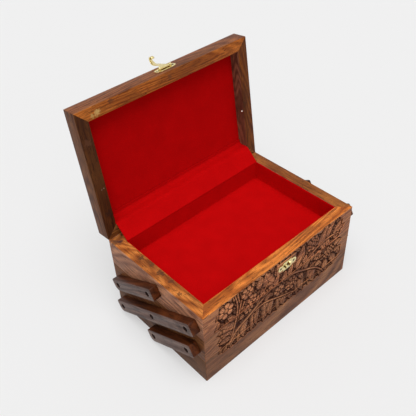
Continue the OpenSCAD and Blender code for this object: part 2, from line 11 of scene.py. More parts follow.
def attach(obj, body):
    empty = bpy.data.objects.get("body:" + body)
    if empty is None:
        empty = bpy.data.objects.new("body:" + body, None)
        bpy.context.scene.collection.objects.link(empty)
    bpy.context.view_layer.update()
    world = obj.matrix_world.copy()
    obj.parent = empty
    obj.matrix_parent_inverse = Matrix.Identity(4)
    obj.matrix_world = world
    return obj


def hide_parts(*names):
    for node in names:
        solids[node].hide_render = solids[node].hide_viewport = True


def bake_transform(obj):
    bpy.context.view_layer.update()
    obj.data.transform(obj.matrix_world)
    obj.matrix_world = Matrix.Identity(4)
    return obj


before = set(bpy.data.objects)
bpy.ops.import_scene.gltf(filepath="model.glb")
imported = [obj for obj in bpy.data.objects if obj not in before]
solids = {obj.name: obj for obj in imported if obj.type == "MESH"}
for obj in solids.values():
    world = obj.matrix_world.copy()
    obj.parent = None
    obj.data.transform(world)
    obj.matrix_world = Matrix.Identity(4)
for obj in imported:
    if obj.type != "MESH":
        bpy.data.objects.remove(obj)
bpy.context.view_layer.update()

# ---------- Camera ----------
# The camera looks down on the box's front left corner. Its place comes from the corners of the
# box in the photograph, in lengths of the box.
box_w, box_d = 0.230, 0.152
view_azimuth, view_elevation, view_roll = (math.radians(a) for a in (-40.74, 40.83, -2.93))
view_distance, view_right, view_up = 3.124, -0.1386, 0.4099
focal_pixels, picture_pixels, sensor_mm = 586.3, 416, 36.0

towards_camera = Vector((
    math.sin(view_azimuth) * math.cos(view_elevation),
    -math.cos(view_azimuth) * math.cos(view_elevation),
    math.sin(view_elevation)))
level_right = (-towards_camera).cross(Vector((0, 0, 1))).normalized()
level_up = level_right.cross(-towards_camera)
camera_x = math.cos(view_roll) * level_right + math.sin(view_roll) * level_up
camera_y = -math.sin(view_roll) * level_right + math.cos(view_roll) * level_up
camera = bpy.data.objects.new("camera", bpy.data.cameras.new("camera"))
bpy.context.scene.collection.objects.link(camera)
camera.matrix_world = Matrix.Translation(
    (towards_camera * view_distance + camera_x * view_right + camera_y * view_up) * box_w
) @ Matrix((camera_x, camera_y, towards_camera)).transposed().to_4x4()
camera.data.sensor_width = sensor_mm
camera.data.lens = focal_pixels * sensor_mm / picture_pixels
camera.data.clip_start = 0.01
bpy.context.scene.camera = camera

# ---------- Studio ----------
# A pale floor and backdrop of one colour, under a large soft light that hangs over the box and a
# little in front of it. The floor also glows, so that it meets the backdrop without a line and
# the box throws only a faint soft shadow.
backdrop, floor_half, floor_glow = (0.871, 0.871, 0.871, 1), 4, 0.5
ceiling_light, lamp_light = 0.28, 2.36
bpy.context.scene.view_settings.view_transform = "Standard"


def add_node(tree, kind, links=None, **values):
    """A new node; links are {input: value or (node, output)}, and values are its own settings."""
    made = tree.nodes.new(kind)
    for key, value in values.items():
        setattr(made, key, value)
    for key, value in (links or {}).items():
        if isinstance(value, tuple) and isinstance(value[0], bpy.types.Node):
            tree.links.new(value[0].outputs[value[1]], made.inputs[key])
        else:
            made.inputs[key].default_value = value
    return made


def reckon(tree, operation, *terms):
    """The (node, output) of a sum with numbers."""
    return add_node(tree, "ShaderNodeMath", dict(enumerate(terms)), operation=operation), 0


def mix_colours(tree, share, first, second, blend="MIX"):
    """The (node, output) of a mix of two colours, which are (red, green, blue) or such a pair."""
    first, second = ((*c, 1) if len(c) == 3 else c for c in (first, second))
    return add_node(tree, "ShaderNodeMix", {"Factor": share, 6: first, 7: second},
                    data_type="RGBA", blend_type=blend), 2


def add_noise(tree, place, scale, detail, **values):
    """The (node, output) of a noise of so many lumps to a metre, at a place."""
    return add_node(tree, "ShaderNodeTexNoise",
                    {"Vector": place, "Scale": scale, "Detail": detail, **values}), 0


def add_vectors(tree, operation, first, second, output=0):
    """The (node, output) of a sum with two vectors."""
    return add_node(tree, "ShaderNodeVectorMath", {0: first, 1: second},
                    operation=operation), output


def new_tree(owner):
    owner.use_nodes = True
    owner.node_tree.nodes.clear()
    return owner.node_tree


def seen_directly(tree):
    """1 for what the camera sees, also mirrored, and 0 for what only lights the box."""
    rays = add_node(tree, "ShaderNodeLightPath")
    return reckon(tree, "MAXIMUM", (rays, "Is Camera Ray"), (rays, "Is Glossy Ray"))


def add_piece(name, mesh, body):
    """A finished piece of the box, in place, that moves with a body."""
    piece = bpy.data.objects.new(name, mesh)
    bpy.context.scene.collection.objects.link(piece)
    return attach(piece, body) if body else piece


world = bpy.data.worlds.new("studio")
bpy.context.scene.world = world
tree = new_tree(world)
lit = add_node(tree, "ShaderNodeBackground", {"Color": (1, 1, 1, 1), "Strength": ceiling_light})
shown = add_node(tree, "ShaderNodeBackground", {"Color": backdrop, "Strength": 1.0})
mixed = add_node(tree, "ShaderNodeMixShader", {0: seen_directly(tree), 1: (lit, 0), 2: (shown, 0)})
add_node(tree, "ShaderNodeOutputWorld", {"Surface": (mixed, 0)})

for name, share, softness, turn in (("lamp_above", 0.80, 50, (14, 0, -35)),
                                    ("lamp_front", 0.20, 60, (55, 0, -35))):
    lamp = bpy.data.objects.new(name, bpy.data.lights.new(name, "SUN"))
    bpy.context.scene.collection.objects.link(lamp)
    lamp.rotation_euler = [math.radians(a) for a in turn]
    lamp.data.energy = lamp_light * share
    lamp.data.angle = math.radians(softness)

floor_mesh = bpy.data.meshes.new("floor")
floor_mesh.from_pydata([(x * floor_half, y * floor_half, 0)
                        for x, y in ((-1, -1), (1, -1), (1, 1), (-1, 1))], [], [(0, 1, 2, 3)])
paper = bpy.data.materials.new("backdrop paper")
tree = new_tree(paper)
seen = seen_directly(tree)
white = mix_colours(tree, seen, (0.45, 0.45, 0.45), (0.92, 0.92, 0.92))
matt = add_node(tree, "ShaderNodeBsdfDiffuse", {"Color": white})
glow = add_node(tree, "ShaderNodeEmission", {"Color": backdrop, "Strength": 1.0})
even = add_node(tree, "ShaderNodeMixShader", {
    0: reckon(tree, "MULTIPLY", seen, floor_glow), 1: (matt, 0), 2: (glow, 0)})
add_node(tree, "ShaderNodeOutputMaterial", {"Surface": (even, 0)})
floor_mesh.materials.append(paper)
add_piece("floor", floor_mesh, None)

# ---------- Boards of the trays ----------
# Each tray is four sheesham boards, mitred at the corners and rebated for a bottom panel. The box
# was sanded as one, so its corners and rims are eased across the joints. The rims are painted as
# lit, and the other faces with a painted sheen and shade.
tier_h, tier_gap, wall_t, floor_t, rebate = 0.034, 0.0003, 0.0135, 0.004, 0.005
corner_r, rim_r, joint_r, back_r, inside_r = 0.0006, 0.0005, 0.0002, 0.00006, 0.0004
tray_names = ("bottom_tray", "middle_tray", "top_tray")
tiers = [n * (tier_h + tier_gap) for n in range(3)]
top_z = tiers[2] + tier_h
inner_w, inner_d = box_w / 2 - wall_t, box_d / 2 - wall_t


def finish_surface(tree, height, strength, distance, **values):
    """The shader that ends a finish, with a fine relief of a height. A name's _ is a space."""
    bump = add_node(tree, "ShaderNodeBump", {
        "Strength": strength, "Distance": distance, "Height": height})
    surface = add_node(tree, "ShaderNodeBsdfPrincipled", {
        "Normal": (bump, 0), **{key.replace("_", " "): value for key, value in values.items()}})
    add_node(tree, "ShaderNodeOutputMaterial", {"Surface": (surface, 0)})


def spread(tree, source, low, high, to_low=0.0, to_high=1.0):
    """The (node, output) of a number taken from low..high to to_low..to_high, and held there."""
    return add_node(tree, "ShaderNodeMapRange",
                    {0: source, 1: low, 2: high, 3: to_low, 4: to_high}), 0


def build_wood_grain():
    """Solid sheesham with its grain along X: warped growth rings, mottled patches, short dark
    flecks, fibres and pores."""
    group = bpy.data.node_groups.new("sheesham grain", "ShaderNodeTree")
    for name, way, kind in (("Vector", "INPUT", "Vector"), ("Color", "OUTPUT", "Color"),
                            ("Height", "OUTPUT", "Float")):
        group.interface.new_socket(name, in_out=way, socket_type=f"NodeSocket{kind}")
    start = add_node(group, "NodeGroupInput")

    def noise(stretch, scale, detail, distortion=0.0, roughness=0.55):
        drawn_out = add_node(group, "ShaderNodeMapping", {0: (start, 0), "Scale": (stretch, 1, 1)})
        return add_noise(group, (drawn_out, 0), scale, detail, Distortion=distortion,
                         Roughness=roughness)

    growth = noise(0.13, 15.0, 2.5, 0.6, 0.50)
    waves = reckon(group, "SINE", reckon(group, "MULTIPLY", growth, 210.0))
    uneven = noise(0.25, 150.0, 4.0, 0.3, 0.62)
    rings = add_node(group, "ShaderNodeValToRGB", {
        0: reckon(group, "MULTIPLY_ADD", waves, 0.27, uneven)})
    stops = rings.color_ramp.elements
    stops[0].position, stops[-1].position = 0.05, 0.95
    stops[0].color, stops[-1].color = (0.150, 0.038, 0.010, 1), (0.650, 0.240, 0.056, 1)
    for place, colour in ((0.32, (0.335, 0.096, 0.021, 1)), (0.55, (0.480, 0.152, 0.033, 1))):
        stops.new(place).color = colour
    patches = spread(group, noise(0.30, 48.0, 3.0, 0.4), 0.47, 0.66, 0, 0.84)
    mottled = mix_colours(group, patches, (rings, 0), (0.230, 0.072, 0.022))
    glow = spread(group, noise(0.45, 30.0, 2.0), 0.50, 0.70, 0, 0.55)
    glowing = mix_colours(group, glow, mottled, (0.680, 0.255, 0.062))
    flecks = spread(group, noise(0.10, 520.0, 3.0, 0.3, 0.65), 0.55, 0.66, 0, 0.74)
    flecked = mix_colours(group, flecks, glowing, (0.090, 0.024, 0.008))
    fibres = noise(0.035, 1300.0, 2.0)
    fibred = mix_colours(group, 1.0, flecked, spread(group, fibres, 0.3, 0.7, 0.80, 1.16),
                         "MULTIPLY")
    pores = spread(group, noise(0.08, 2600.0, 1.0), 0.64, 0.70)
    pored = mix_colours(group, pores, fibred, (0.045, 0.016, 0.008))
    height = reckon(group, "SUBTRACT", fibres, pores)
    add_node(group, "NodeGroupOutput", {"Color": pored, "Height": height})
    return group


wood_grain = build_wood_grain()


def sheesham(name, along, shift, tint, roughness=0.48, carved=False, painted_lit_facing=(0, 0, 1),
             painted_away_tone=(0.9, 0.8), knots=(), lit_behind=None, stain=None):
    """Sheesham with its grain along a direction; shift moves it to another part of the log. Faces
    that look along the lit direction have the full colour, painted as lit, if they lie behind the
    given Y, and the rest have a (saturation, value) of painted sheen and shade. knots are (place,
    radius, colour). stain is a function that adds a stain, and any painted light, to (tree, texture
    coordinates, colour)."""
    finish = bpy.data.materials.new(name)
    tree = new_tree(finish)
    place = add_node(tree, "ShaderNodeTexCoord")
    turn = Vector(along).rotation_difference(Vector((1, 0, 0))).to_euler()
    mapped = add_node(tree, "ShaderNodeMapping",
                      {0: (place, "Object"), "Rotation": turn, "Location": shift})
    grain = add_node(tree, "ShaderNodeGroup", {0: (mapped, 0)}, node_tree=wood_grain)
    tinted = mix_colours(tree, 1.0, (grain, 0), tuple(tint), "MULTIPLY")
    # painted light: faces that look along the lit direction get the full colour, the rest a painted
    # sheen and shade
    lit_share = add_vectors(tree, "DOT_PRODUCT", (place, "Normal"), painted_lit_facing, "Value")
    if carved:
        # the cuts never get the painted lit colour
        cut = (add_node(tree, "ShaderNodeAttribute", attribute_name="cut"), "Fac")
        lit_share = reckon(tree, "MULTIPLY_ADD", cut, -30.0, lit_share)
    if lit_behind is not None:
        parts = add_node(tree, "ShaderNodeSeparateXYZ", {0: (place, "Object")})
        behind = spread(tree, (parts, "Y"), lit_behind - 0.0002, lit_behind + 0.0002)
        lit_share = reckon(tree, "MULTIPLY", behind, lit_share)
    depth, value = (spread(tree, lit_share, 0.35, 0.80, low, 1.0) for low in painted_away_tone)
    if carved:
        # the flat, uncut tops keep the plain colour; the relief's shallow cuts get a painted
        # highlight, turning to painted shade deeper down
        flat = spread(tree, cut, 0.0, 0.03, 1.0, 0.0)
        rubbed_and_highlight = add_node(tree, "ShaderNodeMix", {
            0: flat, 2: spread(tree, cut, 0.05, 0.24, 1.72, 0.80), 3: 1.0})
        value = reckon(tree, "MULTIPLY", value, (rubbed_and_highlight, 0))
    colour = (add_node(tree, "ShaderNodeHueSaturation", {
        "Color": tinted, "Saturation": depth, "Value": value}), 0)
    if knots:
        wander = add_noise(tree, (mapped, 0), 420.0, 3.0)
    for spot, radius, knot_colour in knots:
        away = add_vectors(tree, "DISTANCE", (place, "Object"), spot, "Value")
        ragged = reckon(tree, "MULTIPLY_ADD", wander, radius * 3.4, away)
        share = spread(tree, ragged, radius * 2.9, radius * 2.3, 0, 0.85)
        colour = mix_colours(tree, share, colour, knot_colour)
    if carved:
        # the deepest cuts are dark: a real dark stain, with painted shade in the recesses
        deep_stain_and_shade = spread(tree, cut, 0.23, 0.42)
        colour = mix_colours(tree, deep_stain_and_shade, colour, (0.050, 0.011, 0.004))
    if stain:
        colour = stain(tree, place, colour)
    finish_surface(tree, (grain, 1), 0.25, 0.0002, Base_Color=colour, Roughness=roughness,
                   Specular_IOR_Level=0.12)
    return finish


def refinish(mesh, finish):
    mesh.materials.clear()
    mesh.materials.append(finish)


def arc(steps):
    """Pairs (1 - cos, 1 - sin) from 0 to 90 degrees: how far an eased edge stands back."""
    return [(1 - math.cos(a), 1 - math.sin(a))
            for a in (math.pi / 2 * i / steps for i in range(steps + 1))]


def board_section(z0, z1, outer_low, outer_high, inner_r, face_rows=2):
    """Section of a board as (inset, height, on the face), going up the face, over the head and
    down the inside to the rebate at the foot."""
    rows = [(outer_low * b, z0 + outer_low * a, False) for a, b in arc(3)[:-1]]
    low, high = z0 + outer_low, z1 - outer_high
    rows += [(0.0, low + (high - low) * i / (face_rows - 1), True) for i in range(face_rows)]
    rows += [(outer_high * a, z1 - outer_high * b, False) for a, b in arc(4)[1:]]
    rows += [(wall_t - inner_r * b, z1 - inner_r * a, False) for a, b in arc(3)]
    return rows + [(wall_t, z0 + floor_t, False), (wall_t - rebate, z0 + floor_t, False),
                   (wall_t - rebate, z0, False)]


def face_outwards(mesh, weld=None):
    """Turns a closed mesh's faces outwards. Corners nearer to each other than weld become one."""
    form = bmesh.new()
    form.from_mesh(mesh)
    if weld:
        bmesh.ops.remove_doubles(form, verts=form.verts, dist=weld)
    bmesh.ops.recalc_face_normals(form, faces=form.faces)
    form.to_mesh(mesh)
    form.free()


def loft_board(name, half_length, rows, columns, carve=None):
    """A mitred board along X, with its face at Y = 0 and Y going in. carve gives the depth of the
    carving at points of the face, in metres."""
    places, depths = [], []
    turns = [math.radians(45) * i / 4 for i in range(1, 5)]
    for inset, height, on_face in rows:
        r = max(corner_r, inset)
        flat = (half_length - r) * np.asarray(columns)
        depth = np.zeros(len(flat))
        if on_face and carve is not None:
            depth = carve(flat, np.full(len(flat), height))
        bend = [((r - inset) * math.sin(a), r - (r - inset) * math.cos(a)) for a in turns]
        places += [(-(half_length - r) - dx, y, height) for dx, y in reversed(bend)]
        places += [(x, inset + d, height) for x, d in zip(flat, depth)]
        places += [(half_length - r + dx, y, height) for dx, y in bend]
        depths += [0.0] * len(bend) + list(depth) + [0.0] * len(bend)
    across, up = len(columns) + 2 * len(turns), len(rows)
    faces = []
    for i in range(up):
        a, b = i * across, (i + 1) % up * across
        faces += [(a + k, a + k + 1, b + k + 1, b + k) for k in range(across - 1)]
    faces.append([i * across for i in range(up)])
    faces.append([i * across + across - 1 for i in range(up)][::-1])
    mesh = bpy.data.meshes.new(name)
    mesh.from_pydata(places, [], faces)
    mark_cuts(mesh, depths)
    face_outwards(mesh, weld=1e-7)
    return mesh


def mark_cuts(mesh, depths):
    """Keeps the depth of the carving with the mesh, for the stain, painted highlight and painted
    shade in the cuts.
    """
    mesh.attributes.new("cut", "FLOAT", "POINT").data.foreach_set(
        "value", np.array(depths) / deepest_cut)


def smooth_shade(mesh, angle=35):
    mesh.shade_smooth()
    mesh.set_sharp_from_angle(angle=math.radians(angle))


def set_round(mesh, side):
    """Turns a board that was drawn along X into one of the four sides of the box."""
    turn, out = {"front": (0, box_d / 2), "back": (180, box_d / 2),
                 "left": (-90, box_w / 2), "right": (90, box_w / 2)}[side]
    mesh.transform(Matrix.Rotation(math.radians(turn), 4, "Z") @ Matrix.Translation((0, -out, 0)))


def cut_away(piece, cutters):
    """Cuts boxes ((low), (high)) and round grooves along X (x0, x1, y, z, radius) from a piece."""
    form = bmesh.new()
    for cutter in cutters:
        if len(cutter) == 2:
            low, high = Vector(cutter[0]), Vector(cutter[1])
            matrix = Matrix.Translation((low + high) / 2) @ Matrix.Diagonal((*(high - low), 1))
            bmesh.ops.create_cube(form, size=1, matrix=matrix)
        else:
            x0, x1, y, z, radius = cutter
            matrix = (Matrix.Translation(((x0 + x1) / 2, y, z))
                      @ Matrix.Rotation(math.pi / 2, 4, "Y"))
            bmesh.ops.create_cone(form, cap_ends=True, segments=32, radius1=radius, radius2=radius,
                                  depth=x1 - x0, matrix=matrix)
    mesh = bpy.data.meshes.new("cutters")
    form.to_mesh(mesh)
    form.free()
    tool = bpy.data.objects.new("cutters", mesh)
    bpy.context.scene.collection.objects.link(tool)
    cutting = piece.modifiers.new("cut", "BOOLEAN")
    cutting.object, cutting.solver, cutting.operation = tool, "EXACT", "DIFFERENCE"
    cutting.use_self = True
    piece.data = applied(piece)
    bpy.data.objects.remove(tool)


def applied(piece):
    """A piece's mesh as its modifiers make it. The modifiers are taken off."""
    bpy.context.view_layer.update()
    made = bpy.data.meshes.new_from_object(
        piece.evaluated_get(bpy.context.evaluated_depsgraph_get()))
    piece.modifiers.clear()
    return made


hinge_x, hinge_w, leaf_w, leaf_t = 0.068, 0.032, 0.0115, 0.001
groove_r, groove_play, past_rear = 0.0024, 0.0003, 0.002
hinge_line = Vector((0, box_d / 2, 3 * tier_h + 2.5 * tier_gap))


def hinge_cutters(low, high):
    """Beds of the two hinges between two heights, and the round groove of their knuckles."""
    found = []
    for s in (-1, 1):
        x0, x1 = s * hinge_x - hinge_w / 2, s * hinge_x + hinge_w / 2
        found.append(((x0, box_d / 2 - leaf_w, low), (x1, box_d / 2 + past_rear, high)))
        found.append((x0 - groove_play, x1 + groove_play, hinge_line.y, hinge_line.z, groove_r))
    return found


def tray_easing(tray):
    """Radii of a tray's foot and head: larger at the two ends of the box than at its joints."""
    return (rim_r if tray == "bottom_tray" else joint_r), (rim_r if tray == "top_tray" else joint_r)


# the top tray's back board is planed down by back_drop, all but a lip along its rear edge
back_drop, lip_w, lip_rise, lip_r, planed_gap = 0.0008, 0.0016, 0.0001, 0.00001, 0.00035
deepest_cut = 0.0024
side_columns = np.linspace(-1, 1, 9)
half_lengths = {"front": box_w / 2, "back": box_w / 2, "left": box_d / 2, "right": box_d / 2}
grain_along = {"front": (1, 0, 0), "back": (-1, 0, 0), "left": (0, -1, 0), "right": (0, 1, 0)}
# each side's tint, with painted light on the left boards and painted shade on the right ones
side_tints_and_shade = {"back": (0.85, 0.85, 0.85), "left": (1.22, 1.18, 1.12), "right": (0.70, 0.66, 0.64)}
# painted shade: the side boards of the lower trays are darker
side_painted_shade = {"bottom_tray": 0.30, "middle_tray": 0.43, "top_tray": 1.0}
# dark mottling along the left rim, from the rear
rear_left_knots = [((x, y, top_z), radius, colour) for x, y, radius, colour in (
    (-0.1105, 0.0700, 0.0066, (0.150, 0.062, 0.030)),
    (-0.1070, 0.0660, 0.0022, (0.060, 0.024, 0.026)),
    (-0.1060, 0.0300, 0.0034, (0.110, 0.045, 0.020)),
    (-0.1045, 0.0140, 0.0030, (0.150, 0.056, 0.022)),
    (-0.1050, -0.0020, 0.0040, (0.110, 0.042, 0.020)),
    (-0.1040, -0.0180, 0.0032, (0.140, 0.048, 0.022)),
    (-0.1100, -0.0360, 0.0022, (0.180, 0.066, 0.024)))]
logs = np.random.default_rng(11)
for tray, z0 in zip(tray_names, tiers):
    for side in ("back", "left", "right"):
        node, head = f"{tray}_{side}", z0 + tier_h
        foot_r, head_r = tray_easing(tray)
        if side == "back":
            head_r = back_r
        if node == "top_tray_back":
            head, head_r = head + lip_rise, lip_r
        mesh = loft_board(node, half_lengths[side],
                          board_section(z0, head, foot_r, head_r, inside_r), side_columns)
        set_round(mesh, side)
        piece = add_piece(f"{node}_board", mesh, tray)
        if node == "top_tray_back":
            planed_x = inner_w - planed_gap
            cut_away(piece, [((-planed_x, inner_d - 0.001, top_z - back_drop),
                              (planed_x, box_d / 2 - lip_w, top_z + 0.001))]
                     + hinge_cutters(top_z - back_drop - leaf_t, top_z + 0.001))
        smooth_shade(piece.data)
        refinish(piece.data, sheesham(
            f"sheesham {node.replace('_', ' ')}", grain_along[side], logs.uniform(-2, 2, 3),
            [c * side_painted_shade[tray] for c in side_tints_and_shade[side]],
            painted_away_tone=(0.80, 1.0) if tray == "top_tray" else (0.95, 0.85),
            knots=rear_left_knots if node == "top_tray_left" else ()))
        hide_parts(node)

# ---------- Bottom panels ----------
# A thin sheesham panel is let into each tray's four boards from below and glued there. The tray's
# velvet lies on it.
panel_wood = sheesham("sheesham bottom panels", (1, 0, 0), (0.3, 0.7, 0.1), (0.70, 0.70, 0.72),
                      0.60)
for tray in tray_names:
    refinish(solids[f"{tray}_floor"].data, panel_wood)

# ---------- Carved fronts ----------
# One spray of flowers runs over the three front boards. The carver sank the ground between the
# flowers, leaves and stems by hand, with small leaves left lower down between them, and stained
# the cuts dark; painted shade darkens the deep cuts further. Lengths in the drawing are in
# millimetres, from the box's lower left corner.
ground, under_level = 2.3, 0.28


def ease(low, high, x):
    t = np.clip((x - low) / (high - low), 0, 1)
    return t * t * (3 - 2 * t)


def smooth_path(points):
    """A smooth line through points, with eight steps from each to the next."""
    p = np.array([points[0], *points, points[-1]], float)
    found = []
    for i in range(1, len(p) - 2):
        for t in np.linspace(0, 1, 9)[:-1]:
            found.append(0.5 * (2 * p[i] + (p[i + 1] - p[i - 1]) * t
                                + (2 * p[i - 1] - 5 * p[i] + 4 * p[i + 1] - p[i + 2]) * t * t
                                + (3 * p[i] - p[i - 1] - 3 * p[i + 1] + p[i + 2]) * t ** 3))
    return np.array(found + [p[-1]])


def stem(width, *points):
    """A ridge along a smooth line through points, thinner towards its end, with two cut lines."""
    line = smooth_path(points)

    def shape(x, z):
        near, along = np.full(x.shape, 1e3), np.zeros(x.shape)
        for i, (a, b) in enumerate(zip(line[:-1], line[1:])):
            d = b - a
            t = np.clip(((x - a[0]) * d[0] + (z - a[1]) * d[1]) / max(d @ d, 1e-9), 0, 1)
            gap = np.hypot(x - a[0] - t * d[0], z - a[1] - t * d[1])
            along = np.where(gap < near, (i + t) / len(line), along)
            near = np.minimum(near, gap)
        half = width / 2 * (1.15 - 0.45 * along)
        q = near / half
        cut_lines = 0.35 * np.exp(-((q - 0.42) / 0.15) ** 2)
        return near - half, -0.10 - 0.50 * q ** 2 - cut_lines
    return line.min(0) - width, line.max(0) + width, shape


def leaf(base, tip, width, bend=0.12, lobes=0, drop=0.0):
    """A pointed leaf with a cut midrib and side veins. lobes gives its edge that many waves, and
    drop lowers it."""
    base, tip = np.array(base, float), np.array(tip, float)
    length = np.hypot(*(tip - base))
    e = (tip - base) / length

    def shape(x, z):
        u = ((x - base[0]) * e[0] + (z - base[1]) * e[1]) / length
        v = (z - base[1]) * e[0] - (x - base[0]) * e[1]
        v = v - bend * length * np.sin(np.pi * np.clip(u, 0, 1))
        c = np.clip(u, 0.0, 1.0)
        half = width / 2 * np.sin(np.pi * c ** 0.8) ** 0.75 + 0.02
        if lobes:
            half = half * (1 + 0.13 * np.cos(2 * np.pi * lobes * c))
        d = np.where(u == c, np.maximum(np.abs(v) - half, (np.abs(c - 0.5) - 0.5) * length),
                     np.hypot(np.maximum(np.abs(v) - half, 0), (u - c) * length))
        q = np.abs(v) / half
        veins = (0.5 + 0.5 * np.cos(2 * np.pi * (c * length - 0.9 * np.abs(v)) / 2.8)) ** 3
        h = -0.10 - 0.65 * q ** 2 - 0.95 * np.exp(-(v / 0.45) ** 2) * ease(1.0, 0.8, c)
        return d, h - 0.50 * veins * ease(0.5, 1.1, np.abs(v)) * ease(1, 0.8, q) - drop
    room = width + 0.3 * length
    return np.minimum(base, tip) - room, np.maximum(base, tip) + room, shape


def leaves(*rows):
    """Leaves from (base x, base z, tip x, tip z, width, and where they differ, bend and lobes)."""
    return [leaf(row[:2], row[2:4], *row[4:]) for row in rows]


def flower(centre, radius, petals, turn=0.0, button=0.27):
    """Round petals about a cross-cut button."""
    def shape(x, z):
        dx, dz = x - centre[0], z - centre[1]
        r = np.hypot(dx, dz)
        phase = (np.arctan2(dz, dx) - turn) * petals / (2 * np.pi)
        off = np.abs(phase - np.round(phase))
        edge = radius * (1 - 0.24 * (2 * off) ** 2.4)
        q = r / radius
        side = (0.5 - off) * 2 * np.pi / petals * r
        middle = off * 2 * np.pi / petals * r
        h = -0.08 - 0.35 * (2 * off) ** 2 - 0.45 * ease(0.70, 1.0, r / edge)
        h -= 1.05 * np.exp(-(side / 0.48) ** 2) * ease(button, button + 0.1, q)
        h -= (0.45 * np.exp(-(middle / 0.32) ** 2) * ease(button + 0.08, button + 0.2, q)
              * ease(0.95, 0.75, q))
        h -= 1.05 * np.exp(-((q - button - 0.05) * radius / 0.45) ** 2)
        hatch = np.maximum(np.abs(np.sin(2.6 * (dx + dz))), np.abs(np.sin(2.6 * (dx - dz))))
        dome = -0.08 - 0.60 * (q / button) ** 2 - 0.35 * ease(0.93, 1.0, hatch)
        return r - edge, np.where(q < button, dome, h)
    reach = np.full(2, radius + 2.0)
    return np.array(centre, float) - reach, np.array(centre, float) + reach, shape


def plain_patch(centre, size, level=0.5):
    """Uncut wood for the catch, or with a level below 0, the hole behind its opening."""
    centre, half = np.array(centre, float), np.array(size) / 2

    def shape(x, z):
        d = np.maximum(np.abs(x - centre[0]) - half[0], np.abs(z - centre[1]) - half[1])
        return d, 0.0 * x + level
    return centre - half - 2, centre + half + 2, shape


def carved(x, z, shapes, field):
    """Depth of a relief of shapes, each laid over those before it with a cut line round it. The
    ground is sunk where field(x, z) is below 0, and close round each shape."""
    tool_marks = 0.12 * np.sin(2.3 * x + 1.9 * np.sin(1.7 * z)) * np.sin(2.6 * z + x)
    top = -ground + tool_marks
    reach = field(x, z)
    for low, high, shape in shapes:
        near = (x > low[0]) & (x < high[0]) & (z > low[1]) & (z < high[1])
        d, h = shape(x[near], z[near])
        h = h - 0.60 * ease(-0.7, 0.05, d)
        # the cut line goes down to the ground beside the shape, and ends 1 mm away from it
        moat = -0.9 - (ground - 0.9) * ease(0.0, 0.35, d) + 9.0 * ease(0.65, 1.05, d)
        top[near] = np.where(d < 0, h, np.minimum(top[near], moat))
        reach[near] = np.minimum(reach[near], d)
    return -np.minimum(top * (1 - ease(0.8, 1.4, reach)), 0)


def under_leaves(x_range, z_range, pitch, seed):
    """Small low leaves at a pitch, in staggered rows, turned this way and that."""
    draw, found = np.random.default_rng(seed), []
    for row, z in enumerate(np.arange(z_range[0], z_range[1], pitch * 0.8)):
        for x in np.arange(x_range[0] + (row % 2) * pitch / 2, x_range[1], pitch):
            a = draw.uniform(0, 2 * np.pi)
            reach = np.array([math.cos(a), math.sin(a)]) * pitch * 0.62
            middle = np.array([x, z]) + draw.normal(0, 0.6, 2)
            found.append(leaf(middle - reach, middle + reach, pitch * 0.80, 0.1,
                              drop=under_level))
    return found


